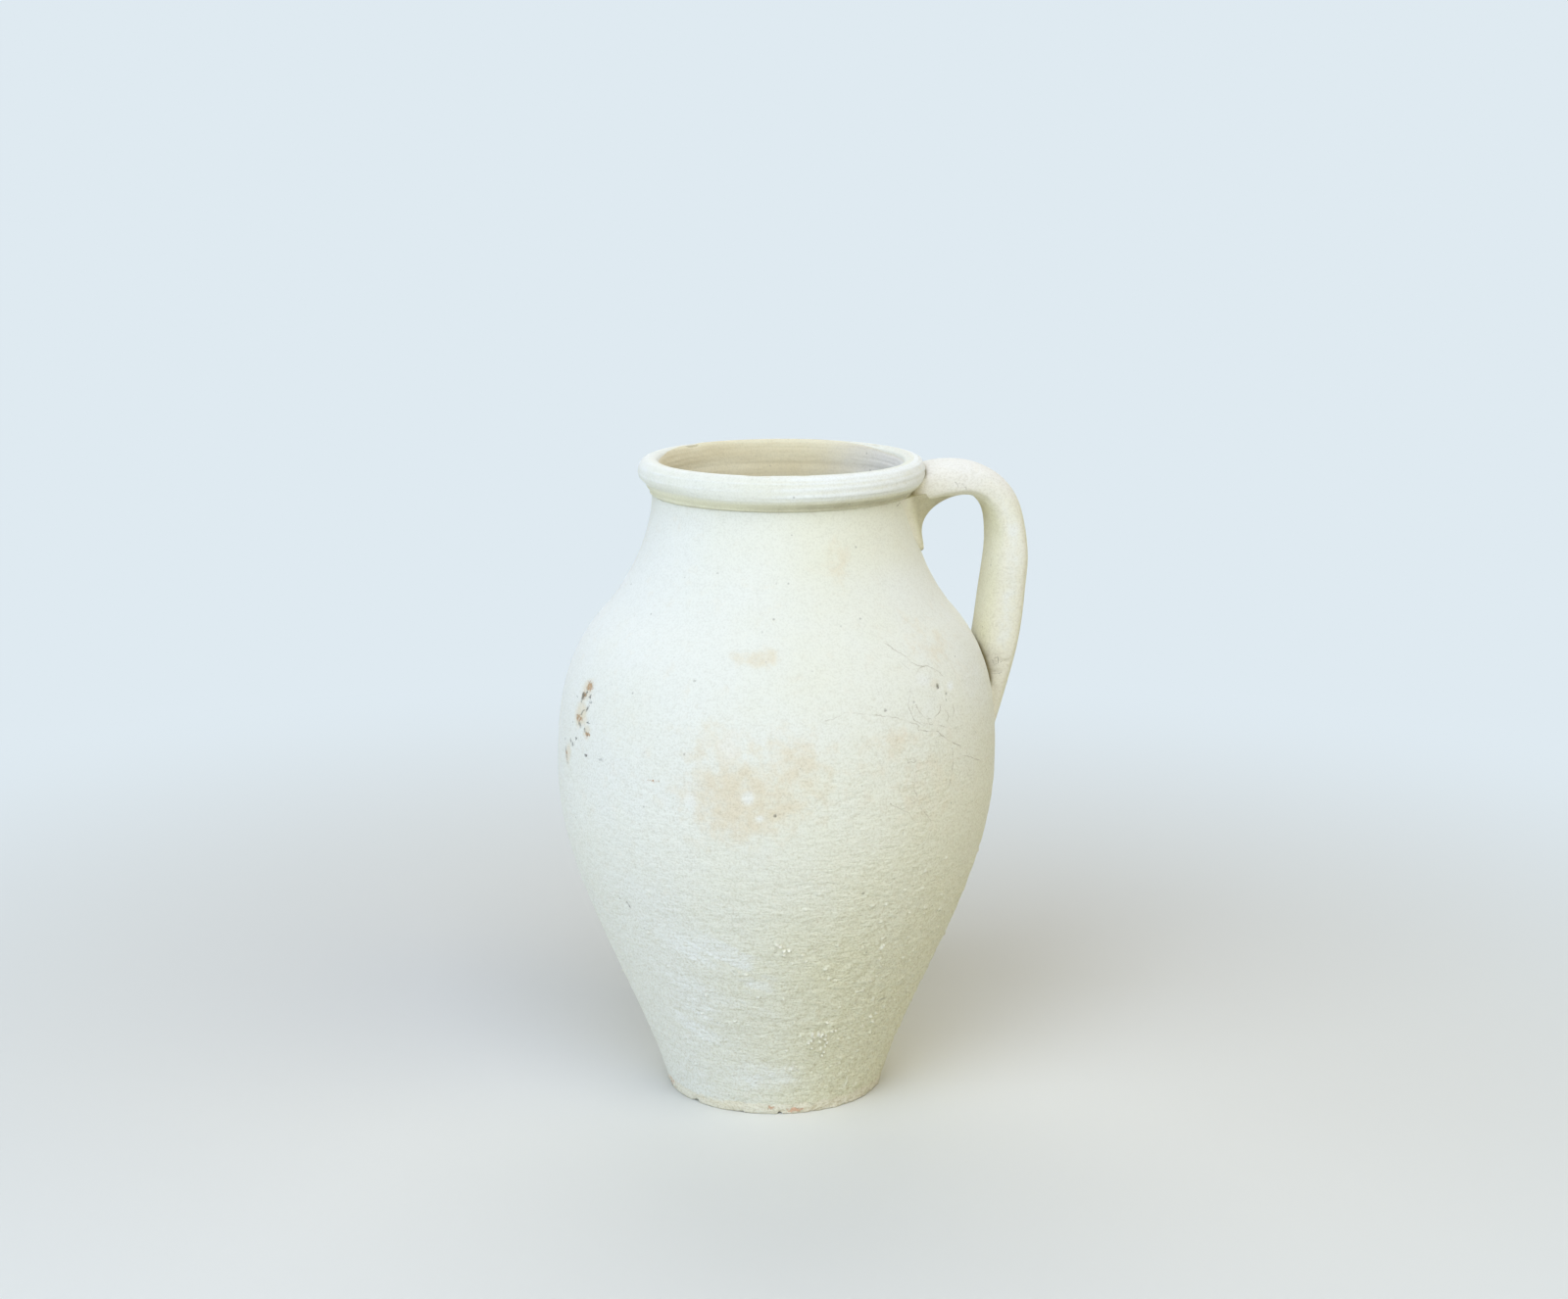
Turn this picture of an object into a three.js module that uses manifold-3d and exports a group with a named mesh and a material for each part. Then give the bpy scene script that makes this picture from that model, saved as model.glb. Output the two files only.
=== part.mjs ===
// Clay pitcher: wheel-thrown sections, a rolled rim and a pulled strap handle, luted together.
// Millimetres, +Z up, the origin at the centre of the foot's flat underside, the handle toward +X.

import * as THREE from 'three';
import { mergeVertices } from 'three/addons/utils/BufferGeometryUtils.js';
import Module from 'manifold-3d';

const wasm = await Module();
wasm.setup();

// Outline of the thrown wall: radius at each turn, and rise from the turn below it
const footRadius = 59.7;
const footHeight = 6.5;
const footFlare = 1.1;
const bellyRadius = 119.3;
const bellyRise = 175;
const shoulderRadius = 94.6;
const shoulderRise = 86;
const shoulderSlope = 0.93;
const neckRadius = 69;
const neckRise = 63.5;

// How far each curve keeps its end direction, as a share of its own span
const coneEaseOut = 0.256;
const coneEaseUp = 0.29;
const bellyEaseBelow = 0.337;
const bellyEaseAbove = 0.404;
const shoulderEaseBelow = 0.277;
const shoulderEaseAbove = 0.168;
const neckEase = 0.41;

// Clay thickness
const wall = 7.2;
const floorThickness = 10;
const footRound = 1.5;

// Rolled rim, measured out from the neck's faces and up from the neck's top
const rimOverhang = 6.3;
const rimWidestRise = 9;
const crestOut = 0.6;
const crestRise = 19;
const mouthFlare = 1.7;
const mouthRise = 13.5;
const rimLap = 6;
const rimUnderBulge = 1;

// Drift of the thrown axis toward the handle, at the crest
const axisLean = 4.2;

// Middle line of the handle strap: out from the rim, up from the neck's top and the belly
const strapRootRise = 1;
const strapRootDepth = 2;
const strapCrestReach = 21.2;
const strapCrestRise = 6;
const strapReach = 50.5;
const strapReachDrop = 40;
const strapFootRise = 56.5;
const strapTipRise = 6;
const strapTipDepth = 5.3;
const strapTipSlope = 0.128;
const strapBendEase = 0.62;
const strapDropEase = 0.33;
const strapTipEase = 0.25;

// Clay thickness and width of the strap at even steps from the rim to the tip
const strapThickness = [18, 17.8, 16.8, 21.2, 22.8, 18, 12.8];
const strapWidth = [41, 38, 36.5, 36, 35, 39, 45];
const strapRoundness = 2.6;
const tipRoundness = 1.9;

// Root of the handle, measured down from the neck's top: a web under the strap and a tongue on the neck
const tongueDrop = 33;
const tongueThickness = 2.4;
const tongueHalfWidth = 27;
const tongueEndRound = 9;
const tongueEndShare = 0.6;
const rootThickness = 5.9;
const wingHalfWidth = 42;
const webHalfWidth = 17;
const webReach = 30;
const webStartDrop = 25;
const webTopDrop = 3.5;
const webRoundness = 4;
const rootBury = 3;

// Luted seams
const seamGap = 0.4;
const keyRise = 2.5;
const luteGap = 0.3;

// Faceting
const turns = 48;
const coneSteps = 11;
const shoulderSteps = 9;
const neckSteps = 9;
const rimSteps = 4;
const footSteps = 4;
const ringPoints = 20;
const strapRings = 28;
const footRings = 12;
const rootRings = 9;
const rootColumns = 14;
const halvings = 30;
const mergeTolerance = 1e-4;

// Heights and radii that follow from the sizes above
const wallFootRadius = footRadius + footFlare;
const bellyHeight = footHeight + bellyRise;
const shoulderHeight = bellyHeight + shoulderRise;
const neckHeight = shoulderHeight + neckRise;
const rimRadius = neckRadius + rimOverhang;
const rimWidestHeight = neckHeight + rimWidestRise;
const crestRadius = neckRadius + crestOut;
const crestHeight = neckHeight + crestRise;
const mouthRadius = neckRadius - wall + mouthFlare;
const mouthHeight = neckHeight + mouthRise;
const strapRootHeight = neckHeight + strapRootRise;
const strapCrestHeight = neckHeight + strapCrestRise;
const strapReachHeight = strapCrestHeight - strapReachDrop;
const strapFootHeight = bellyHeight + strapFootRise;
const strapTipHeight = bellyHeight + strapTipRise;
const tongueHeight = neckHeight - tongueDrop;
const webStartHeight = neckHeight - webStartDrop;
const webTopHeight = neckHeight - webTopDrop;

const point = (radius, height) => new THREE.Vector2(radius, height);

// Three curves make the outer face of the wall, each smooth into the next
const coneCurve = new THREE.CubicBezierCurve(
  point(wallFootRadius, footHeight),
  point(
    wallFootRadius + coneEaseOut * (bellyRadius - wallFootRadius),
    footHeight + coneEaseUp * bellyRise,
  ),
  point(bellyRadius, bellyHeight - bellyEaseBelow * bellyRise),
  point(bellyRadius, bellyHeight),
);
const shoulderArm = shoulderEaseBelow * shoulderRise;
const shoulderCurve = new THREE.CubicBezierCurve(
  point(bellyRadius, bellyHeight),
  point(bellyRadius, bellyHeight + bellyEaseAbove * shoulderRise),
  point(shoulderRadius + shoulderSlope * shoulderArm, shoulderHeight - shoulderArm),
  point(shoulderRadius, shoulderHeight),
);
const neckArm = shoulderEaseAbove * neckRise;
const neckCurve = new THREE.CubicBezierCurve(
  point(shoulderRadius, shoulderHeight),
  point(shoulderRadius - shoulderSlope * neckArm, shoulderHeight + neckArm),
  point(neckRadius, neckHeight - neckEase * neckRise),
  point(neckRadius, neckHeight),
);

// Outer points of a wall curve and the inner points one wall thickness behind them
function wallPoints(curve, steps) {
  const start = seamGap / curve.getLength();
  const outer = [];
  const inner = [];
  for (let i = 0; i <= steps; i += 1) {
    const u = THREE.MathUtils.lerp(start, 1, i / steps);
    const onCurve = curve.getPointAt(u);
    const along = curve.getTangentAt(u);
    outer.push(onCurve);
    inner.push(point(onCurve.x - along.y * wall, onCurve.y + along.x * wall));
  }
  return { outer, inner };
}

// Ridge or matching groove in the middle of a wall edge, pointing up along the wall
function seamKey(curve, u) {
  const onCurve = curve.getPointAt(u);
  const along = curve.getTangentAt(u);
  const middle = point(onCurve.x - along.y * wall / 2, onCurve.y + along.x * wall / 2);
  return middle.addScaledVector(along, keyRise);
}

// Revolves a closed or axis-to-axis outline of (radius, height) points about Z
function revolve(outline) {
  const geometry = new THREE.LatheGeometry(outline, turns);
  geometry.rotateX(Math.PI / 2);
  return geometry;
}

// Pushes each point of an outline out along its own normal
function offsetOutline(outline, distance) {
  return outline.map((current, i) => {
    const before = outline[Math.max(i - 1, 0)];
    const after = outline[Math.min(i + 1, outline.length - 1)];
    const along = after.clone().sub(before).normalize();
    return point(current.x + along.y * distance, current.y - along.x * distance);
  });
}

// Skins a list of rings and closes both ends
function loft(rings) {
  const count = rings[0].length;
  const positions = [];
  const indices = [];
  rings.flat().forEach((p) => positions.push(p.x, p.y, p.z));
  for (let i = 0; i < rings.length - 1; i += 1) {
    for (let j = 0; j < count; j += 1) {
      const a = i * count + j;
      const b = i * count + (j + 1) % count;
      indices.push(a, b, b + count, a, b + count, a + count);
    }
  }
  [0, rings.length - 1].forEach((end) => {
    const centre = new THREE.Vector3();
    rings[end].forEach((p) => centre.addScaledVector(p, 1 / count));
    const hub = positions.length / 3;
    positions.push(centre.x, centre.y, centre.z);
    for (let j = 0; j < count; j += 1) {
      const a = end * count + j;
      const b = end * count + (j + 1) % count;
      indices.push(...(end === 0 ? [hub, b, a] : [hub, a, b]));
    }
  });
  const geometry = new THREE.BufferGeometry();
  geometry.setAttribute('position', new THREE.Float32BufferAttribute(positions, 3));
  geometry.setIndex(indices);
  return geometry;
}

// Turns a closed geometry into a solid for joining and cutting
function toSolid(geometry) {
  const bare = geometry.clone();
  bare.deleteAttribute('normal');
  bare.deleteAttribute('uv');
  const merged = mergeVertices(bare, mergeTolerance);
  const index = merged.index.array;
  const triangles = [];
  for (let i = 0; i < index.length; i += 3) {
    const [a, b, c] = [index[i], index[i + 1], index[i + 2]];
    if (a !== b && b !== c && c !== a) {
      triangles.push(a, b, c);
    }
  }
  const mesh = new wasm.Mesh({
    numProp: 3,
    vertProperties: new Float32Array(merged.attributes.position.array),
    triVerts: new Uint32Array(triangles),
  });
  return new wasm.Manifold(mesh);
}

function fromSolid(solid) {
  const mesh = solid.getMesh();
  const geometry = new THREE.BufferGeometry();
  geometry.setAttribute('position', new THREE.BufferAttribute(mesh.vertProperties, 3));
  geometry.setIndex(new THREE.BufferAttribute(mesh.triVerts, 1));
  return geometry;
}

// Shifts every point toward the handle, more with height, as the wall leans
function lean(geometry) {
  const place = geometry.attributes.position;
  for (let i = 0; i < place.count; i += 1) {
    const rise = place.getZ(i) / crestHeight;
    place.setX(i, place.getX(i) + axisLean * rise * rise);
  }
  return geometry;
}

const cone = wallPoints(coneCurve, coneSteps);
const shoulder = wallPoints(shoulderCurve, shoulderSteps);
const neck = wallPoints(neckCurve, neckSteps);

// Floor disc with a rounded foot edge, a sloped ledge for the wall and a plug inside it
function floorDisc() {
  const ledgeOuter = coneCurve.getPointAt(0);
  const along = coneCurve.getTangentAt(0);
  const plugRadius = ledgeOuter.x - along.y * wall - seamGap;
  const edge = new THREE.QuadraticBezierCurve(
    point(footRadius - footRound, 0),
    point(footRadius, 0),
    point(footRadius, footRound),
  );
  return revolve([
    point(0, 0),
    ...edge.getPoints(footSteps),
    ledgeOuter,
    point(plugRadius, ledgeOuter.y + along.x * wall),
    point(plugRadius, floorThickness),
    point(0, floorThickness),
  ]);
}

// Lower wall: plain edge on the floor disc, ridge on top
function lowerWall() {
  return revolve([
    ...cone.outer,
    seamKey(coneCurve, 1),
    ...cone.inner.toReversed(),
    cone.outer[0],
  ]);
}

// Shoulder: groove below, ridge on top
function shoulderWall() {
  return revolve([
    ...shoulder.outer,
    seamKey(shoulderCurve, 1),
    ...shoulder.inner.toReversed(),
    seamKey(shoulderCurve, seamGap / shoulderCurve.getLength()),
    shoulder.outer[0],
  ]);
}

// Neck: groove below, its top edge bevelled up to the inside where the rim laps over it
function neckWall() {
  const bevel = neck.inner.toReversed();
  bevel[0] = point(bevel[0].x, bevel[0].y + rimLap);
  return revolve([
    ...neck.outer,
    ...bevel,
    seamKey(neckCurve, seamGap / neckCurve.getLength()),
    neck.outer[0],
  ]);
}

// Section of the rolled rim, from its outer lap on the neck round over the crest and in
function rimOutline() {
  const lapBottom = neckHeight + seamGap;
  const innerLap = point(neckRadius - wall, lapBottom + rimLap);
  const under = new THREE.QuadraticBezierCurve(
    point(neckRadius, lapBottom),
    point(
      (neckRadius + rimRadius) / 2 + rimUnderBulge,
      (lapBottom + rimWidestHeight) / 2 - rimUnderBulge,
    ),
    point(rimRadius, rimWidestHeight),
  );
  const over = new THREE.CubicBezierCurve(
    point(rimRadius, rimWidestHeight),
    point(rimRadius, (rimWidestHeight + crestHeight) / 2),
    point((crestRadius + rimRadius) / 2, crestHeight),
    point(crestRadius, crestHeight),
  );
  const inside = new THREE.CubicBezierCurve(
    point(crestRadius, crestHeight),
    point((crestRadius + mouthRadius) / 2, crestHeight),
    point(mouthRadius, (mouthHeight + crestHeight) / 2),
    point(mouthRadius, mouthHeight),
  );
  return [
    ...under.getPoints(rimSteps),
    ...over.getPoints(rimSteps).slice(1),
    ...inside.getPoints(rimSteps).slice(1),
    innerLap,
  ];
}

const rim = rimOutline();

function rolledRim() {
  return revolve([...rim, rim[0]]);
}

// Room taken by the vessel and one lute gap around it, which the handle pieces are cut back from
function vesselRoom() {
  const face = offsetOutline([...cone.outer, ...shoulder.outer.slice(1), ...neck.outer.slice(1)], luteGap);
  const faceTop = face.at(-1);
  const roll = offsetOutline(rim, luteGap);
  const wallRoom = revolve([
    point(0, face[0].y),
    ...face,
    point(faceTop.x, faceTop.y + seamGap),
    point(0, faceTop.y + seamGap),
  ]);
  const rimRoom = revolve([
    point(0, roll[0].y),
    ...roll.slice(0, -1),
    point(0, roll.at(-2).y),
  ]);
  return toSolid(wallRoom).add(toSolid(rimRoom));
}

const room = vesselRoom();
const outerFace = [...cone.outer, ...shoulder.outer, ...neck.outer];

// Outer radius of the wall at a height
function radiusAt(height) {
  const high = outerFace.find((p) => p.y >= height);
  const low = outerFace.findLast((p) => p.y < height);
  return THREE.MathUtils.mapLinear(height, low.y, high.y, low.x, high.x);
}

// Middle line of the strap: out of the rim, over the crest, down to the belly
const inPlane = (x, z) => new THREE.Vector3(x, 0, z);
const crestX = rimRadius + strapCrestReach;
const reachX = rimRadius + strapReach;
const rootX = neckRadius - strapRootDepth;
const tipX = radiusAt(strapTipHeight) - strapTipDepth;
const strapDrop = strapReachHeight - strapTipHeight;
const strapPath = new THREE.CurvePath();
strapPath.add(new THREE.CubicBezierCurve3(
  inPlane(rootX, strapRootHeight),
  inPlane((rootX + crestX) / 2, (strapRootHeight + strapCrestHeight) / 2),
  inPlane((rootX + crestX) / 2, strapCrestHeight),
  inPlane(crestX, strapCrestHeight),
));
strapPath.add(new THREE.CubicBezierCurve3(
  inPlane(crestX, strapCrestHeight),
  inPlane(crestX + strapBendEase * (reachX - crestX), strapCrestHeight),
  inPlane(reachX, strapReachHeight + strapBendEase * (strapCrestHeight - strapReachHeight)),
  inPlane(reachX, strapReachHeight),
));
strapPath.add(new THREE.CubicBezierCurve3(
  inPlane(reachX, strapReachHeight),
  inPlane(reachX, strapReachHeight - strapDropEase * strapDrop),
  inPlane(tipX + strapTipSlope * strapTipEase * strapDrop, strapTipHeight + strapTipEase * strapDrop),
  inPlane(tipX, strapTipHeight),
));

// Share of the strap's length at which it comes down to a height
function shareAtHeight(height) {
  let low = strapPath.getCurveLengths()[1] / strapPath.getLength();
  let high = 1;
  for (let i = 0; i < halvings; i += 1) {
    const middle = (low + high) / 2;
    if (strapPath.getPoint(middle).z > height) {
      low = middle;
    } else {
      high = middle;
    }
  }
  return low;
}

const footShare = shareAtHeight(strapFootHeight);
const footGapShare = seamGap / strapPath.getLength();

const sections = new THREE.SplineCurve(
  strapThickness.map((thickness, i) => new THREE.Vector2(thickness, strapWidth[i])),
);

// Rounded ring of the strap at a share of its length, grown on all sides by a margin
function strapRing(share, margin) {
  const middle = strapPath.getPoint(share);
  const along = strapPath.getTangent(share);
  const outward = new THREE.Vector3(-along.z, 0, along.x);
  const section = sections.getPoint(share);
  const halfThickness = section.x / 2 + margin;
  const halfWidth = section.y / 2 + margin;
  const roundness = share < footShare
    ? strapRoundness
    : THREE.MathUtils.mapLinear(share, footShare, 1, strapRoundness, tipRoundness);
  const bulge = (value) => Math.sign(value) * Math.abs(value) ** (2 / roundness);
  const ring = [];
  for (let j = 0; j < ringPoints; j += 1) {
    const angle = 2 * Math.PI * j / ringPoints;
    const p = middle.clone().addScaledVector(outward, halfThickness * bulge(Math.cos(angle)));
    p.y -= halfWidth * bulge(Math.sin(angle));
    ring.push(p);
  }
  return ring;
}

function strapStretch(from, to, rings, margin) {
  const list = [];
  for (let i = 0; i <= rings; i += 1) {
    list.push(strapRing(THREE.MathUtils.lerp(from, to, i / rings), margin));
  }
  return loft(list);
}

function handleStrap() {
  const clay = strapStretch(0, footShare, strapRings, 0);
  return fromSolid(toSolid(clay).subtract(room));
}

// Lower end of the handle, flared and pressed onto the belly
function handleFoot() {
  const clay = strapStretch(footShare + footGapShare, 1, footRings, 0);
  return fromSolid(toSolid(clay).subtract(room));
}

// Level ring of the root: the neck's own curve plus a wide low wing and a narrow deep web
function rootRing(height) {
  const radius = radiusAt(height);
  const spread = (height - tongueHeight) / tongueDrop;
  const end = Math.min((height - tongueHeight) / tongueEndRound, 1);
  const endShare = THREE.MathUtils.lerp(tongueEndShare, 1, Math.sqrt(end * (2 - end)));
  const halfWidth = endShare * THREE.MathUtils.lerp(tongueHalfWidth, wingHalfWidth, spread * spread);
  const wing = THREE.MathUtils.lerp(tongueThickness, rootThickness, 1 - (1 - spread) ** 2);
  const climb = THREE.MathUtils.clamp((height - webStartHeight) / (webTopHeight - webStartHeight), 0, 1);
  const web = webReach * (1 - Math.sqrt(1 - climb * climb));
  const front = [];
  const back = [];
  for (let j = 0; j <= rootColumns; j += 1) {
    const across = 2 * j / rootColumns - 1;
    const y = across * halfWidth;
    const onNeck = Math.sqrt(radius * radius - y * y);
    const wingShare = Math.sqrt(1 - across * across);
    const webShare = Math.max(1 - Math.abs(y / webHalfWidth) ** webRoundness, 0);
    front.push(new THREE.Vector3(onNeck + wing * wingShare + web * webShare, y, height));
    back.push(new THREE.Vector3(onNeck - rootBury, y, height));
  }
  return [...front, ...back.reverse()];
}

function handleRoot() {
  const rings = [];
  for (let i = 0; i <= rootRings; i += 1) {
    rings.push(rootRing(THREE.MathUtils.lerp(tongueHeight, neckHeight, i / rootRings)));
  }
  const strapRoom = strapStretch(0, footShare, strapRings, luteGap);
  return fromSolid(toSolid(loft(rings)).subtract(room).subtract(toSolid(strapRoom)));
}

const slipCoat = { color: 0xe3e6d6, roughness: 0.9, metalness: 0 };
const shadedSlip = { color: 0xdadcc6, roughness: 0.9, metalness: 0 };
const bareClay = { color: 0xd9c9ac, roughness: 0.95, metalness: 0 };

const pitcher = new THREE.Group();

function addPiece(name, geometry, finish) {
  const mesh = new THREE.Mesh(lean(geometry), new THREE.MeshStandardMaterial(finish));
  mesh.name = name;
  pitcher.add(mesh);
}

addPiece('floor_disc', floorDisc(), bareClay);
addPiece('lower_body', lowerWall(), slipCoat);
addPiece('shoulder', shoulderWall(), slipCoat);
addPiece('neck', neckWall(), slipCoat);
addPiece('rolled_rim', rolledRim(), slipCoat);
addPiece('handle_strap', handleStrap(), shadedSlip);
addPiece('handle_root', handleRoot(), shadedSlip);
addPiece('handle_foot', handleFoot(), shadedSlip);

export default pitcher;
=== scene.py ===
import math

import bmesh
import bpy
import numpy as np
from mathutils import Matrix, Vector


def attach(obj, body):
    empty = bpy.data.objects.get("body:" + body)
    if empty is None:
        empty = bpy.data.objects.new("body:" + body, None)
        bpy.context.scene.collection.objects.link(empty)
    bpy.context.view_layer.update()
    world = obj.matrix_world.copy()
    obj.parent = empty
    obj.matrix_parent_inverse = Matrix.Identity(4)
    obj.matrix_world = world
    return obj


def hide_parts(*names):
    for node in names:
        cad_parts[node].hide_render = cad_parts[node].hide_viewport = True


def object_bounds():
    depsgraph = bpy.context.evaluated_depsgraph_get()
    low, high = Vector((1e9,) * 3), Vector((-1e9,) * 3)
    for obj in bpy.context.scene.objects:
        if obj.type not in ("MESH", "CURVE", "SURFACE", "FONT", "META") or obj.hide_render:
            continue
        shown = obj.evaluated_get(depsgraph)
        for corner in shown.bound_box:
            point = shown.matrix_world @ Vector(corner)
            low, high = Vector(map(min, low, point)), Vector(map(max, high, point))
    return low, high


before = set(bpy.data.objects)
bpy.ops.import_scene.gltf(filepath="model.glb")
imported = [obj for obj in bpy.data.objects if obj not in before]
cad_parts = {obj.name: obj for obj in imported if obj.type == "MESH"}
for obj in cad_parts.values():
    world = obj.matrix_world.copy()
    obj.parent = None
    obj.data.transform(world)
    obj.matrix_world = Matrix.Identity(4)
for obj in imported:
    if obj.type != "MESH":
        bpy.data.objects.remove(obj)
cadLow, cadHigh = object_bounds()

# Sizes below are the drawing's millimetres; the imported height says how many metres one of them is
drawing = {
    "height": 350.0, "axisLean": 4.2, "columns": 512, "crowding": 0.28, "crowdedSide": -101.0,
    "noiseFrom": -300.0, "noiseSpan": 1200.0, "weld": 0.002,
}
mm = (cadHigh.z - cadLow.z) / drawing["height"]
print(f"frame: {len(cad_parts)} nodes, {drawing['height']:.0f} mm tall")

# Camera where the photograph was taken from: metres and degrees
viewpoint = {
    "distance": 1.4259, "azimuth": -11.0, "height": 0.5548, "tilt": 12.277, "pan": -0.2173, "lens": 61.69,
}


def addCamera():
    turn = math.radians(viewpoint["azimuth"])
    camera = bpy.data.objects.new("photoCamera", bpy.data.cameras.new("photoCamera"))
    camera.data.lens = viewpoint["lens"]
    distance = viewpoint["distance"]
    camera.location = (distance * math.sin(turn), -distance * math.cos(turn), viewpoint["height"])
    camera.rotation_euler = (
        math.radians(90 - viewpoint["tilt"]), 0, turn + math.radians(viewpoint["pan"])
    )
    bpy.context.scene.collection.objects.link(camera)
    bpy.context.scene.camera = camera


addCamera()
print("camera placed")


def tint(code):
    # sRGB hex to the linear colour that a shader takes
    parts = [int(code[i:i + 2], 16) / 255 for i in (0, 2, 4)]
    return (*[c / 12.92 if c <= 0.04045 else ((c + 0.055) / 1.055) ** 2.4 for c in parts], 1.0)


def addNode(tree, kind, inputs=None, out=None, **settings):
    # one shader node with its properties, its inputs set or linked; gives the node, or one of its outputs
    node = tree.nodes.new("ShaderNode" + kind)
    for name, value in settings.items():
        setattr(node, name, value)
    for name, value in (inputs or {}).items():
        if isinstance(value, bpy.types.NodeSocket):
            tree.links.new(value, node.inputs[name])
        else:
            node.inputs[name].default_value = value
    return node if out is None else node.outputs[out]


def bezier(points, count):
    # points along a Bezier curve: control points weighted by the Bernstein terms of 0..1
    t = np.linspace(0, 1, count)[:, None]
    last = len(points) - 1
    terms = [math.comb(last, k) * t ** k * (1 - t) ** (last - k) for k in range(last + 1)]
    return sum(term * np.array(p, float) for term, p in zip(terms, points))


def along(values, share):
    # Catmull-Rom curve through evenly spaced values, at shares of 0..1
    v = np.array([2 * values[0] - values[1], *values, 2 * values[-1] - values[-2]], float)
    x = np.clip(share, 0, 1) * (len(values) - 1)
    i = np.minimum(x.astype(int), len(values) - 2)
    t = x - i
    a, b, c, d = v[i], v[i + 1], v[i + 2], v[i + 3]
    square, cube = 2 * a - 5 * b + 4 * c - d, 3 * b - a - 3 * c + d
    return 0.5 * (2 * b + (c - a) * t + square * t ** 2 + cube * t ** 3)


def runOf(line):
    # length run along a line up to each of its points
    return np.concatenate([[0], np.cumsum(np.linalg.norm(np.diff(line, axis=0), axis=1))])


def evenly(line, step):
    # the same line with its points a fixed step apart, measured along it
    run = runOf(line)
    at = np.linspace(0, run[-1], max(2, round(run[-1] / step) + 1))
    return np.stack([np.interp(at, run, line[:, k]) for k in range(line.shape[1])], 1)


def outwardOf(line):
    # outward normal of a wall section: its tangent turned a quarter clockwise
    tangent = np.gradient(line, axis=0)
    tangent /= np.linalg.norm(tangent, axis=1)[:, None]
    return np.stack([tangent[:, 1], -tangent[:, 0]], 1)


def clayNoise(turn, run, cellsRound, cell, seed):
    # value noise on a skin: random heights at lattice corners, eased between them, closed round the turn
    rows = int(drawing["noiseSpan"] / cell) + 3
    lattice = np.random.default_rng(seed).uniform(-1, 1, (rows, cellsRound))
    a, b = np.broadcast_arrays(turn / (2 * np.pi) % 1 * cellsRound, (run - drawing["noiseFrom"]) / cell)
    i, j = np.floor(a).astype(int), np.floor(b).astype(int)
    s, t = a - i, b - j
    s, t = s * s * (3 - 2 * s), t * t * (3 - 2 * t)
    i, k = i % cellsRound, (i + 1) % cellsRound
    low = lattice[j, i] * (1 - s) + lattice[j, k] * s
    high = lattice[j + 1, i] * (1 - s) + lattice[j + 1, k] * s
    return low * (1 - t) + high * t


def ease(value, low, high):
    # 0 at low, 1 at high, with a soft S between
    t = np.clip((value - low) / (high - low), 0, 1)
    return t * t * (3 - 2 * t)


def bell(value, middle, half):
    # 1 in the middle, falling to both sides as a Gauss curve
    return np.exp(-((value - middle) / half) ** 2)


def rounded(away, size):
    # quarter circle: 0 at an end, 1 from a size away from it
    t = np.clip(away / size, 0, 1)
    return np.sqrt(t * (2 - t))


def blend(first, second, share):
    # the first value at share 0, the second at share 1
    return first + (second - first) * share


def offset(turn, azimuth):
    # angle from an azimuth in degrees, the short way round
    return (turn - math.radians(azimuth) + np.pi) % (2 * np.pi) - np.pi


def lean(points):
    # the thrown axis leans towards the handle, by the square of the height
    points = points.copy()
    points[..., 0] += drawing["axisLean"] * (points[..., 2] / drawing["height"]) ** 2
    return points


def closePoles(mesh):
    # a row drawn to one point becomes one vertex
    shape = bmesh.new()
    shape.from_mesh(mesh)
    bmesh.ops.remove_doubles(shape, verts=shape.verts, dist=drawing["weld"] * mm)
    shape.to_mesh(mesh)
    shape.free()


def addPiece(name, points, closedRows, sharpRows, finish, material, node):
    # mesh of a grid of points: columns close round, rows close too or end in a pole
    rows, columns = points.shape[:2]
    i = np.arange(rows if closedRows else rows - 1)[:, None]
    j = np.arange(columns)[None, :]
    below, above, after = i * columns, (i + 1) % rows * columns, (j + 1) % columns
    quads = np.stack([below + j, below + after, above + after, above + j], -1).reshape(-1, 4)
    mesh = bpy.data.meshes.new(name)
    mesh.vertices.add(rows * columns)
    mesh.vertices.foreach_set("co", (lean(points) * mm).astype(np.float32).ravel())
    mesh.loops.add(quads.size)
    mesh.loops.foreach_set("vertex_index", quads.astype(np.int32).ravel())
    mesh.polygons.add(len(quads))
    mesh.polygons.foreach_set("loop_start", np.arange(0, quads.size, 4, dtype=np.int32))
    mesh.update(calc_edges=True)
    mesh.shade_smooth()
    for key, values in finish.items():
        layer = mesh.attributes.new(key, "FLOAT", "POINT")
        values = np.broadcast_to(values, (rows, columns)).astype(np.float32)
        layer.data.foreach_set("value", values.ravel())
    ends = np.empty(len(mesh.edges) * 2, np.int32)
    mesh.edges.foreach_get("vertices", ends)
    rowOf = ends.reshape(-1, 2) // columns
    sharp = (rowOf[:, 0] == rowOf[:, 1]) & np.isin(rowOf[:, 0], [r % rows for r in sharpRows])
    mesh.attributes.new("sharp_edge", "BOOLEAN", "EDGE").data.foreach_set("value", sharp)
    # crumbs of grit keep their facets
    crumbs = np.broadcast_to(finish.get("grit", 0), (rows, columns)).ravel()[quads].max(1) > 0
    mesh.attributes.new("sharp_face", "BOOLEAN", "FACE").data.foreach_set("value", crumbs)
    piece = bpy.data.objects.new(name, mesh)
    bpy.context.scene.collection.objects.link(piece)
    if not closedRows:
        closePoles(mesh)
    mesh.materials.append(material)
    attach(piece, "root")
    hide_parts(node)
    print(f"{name}: {len(mesh.polygons)} faces")


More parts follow.
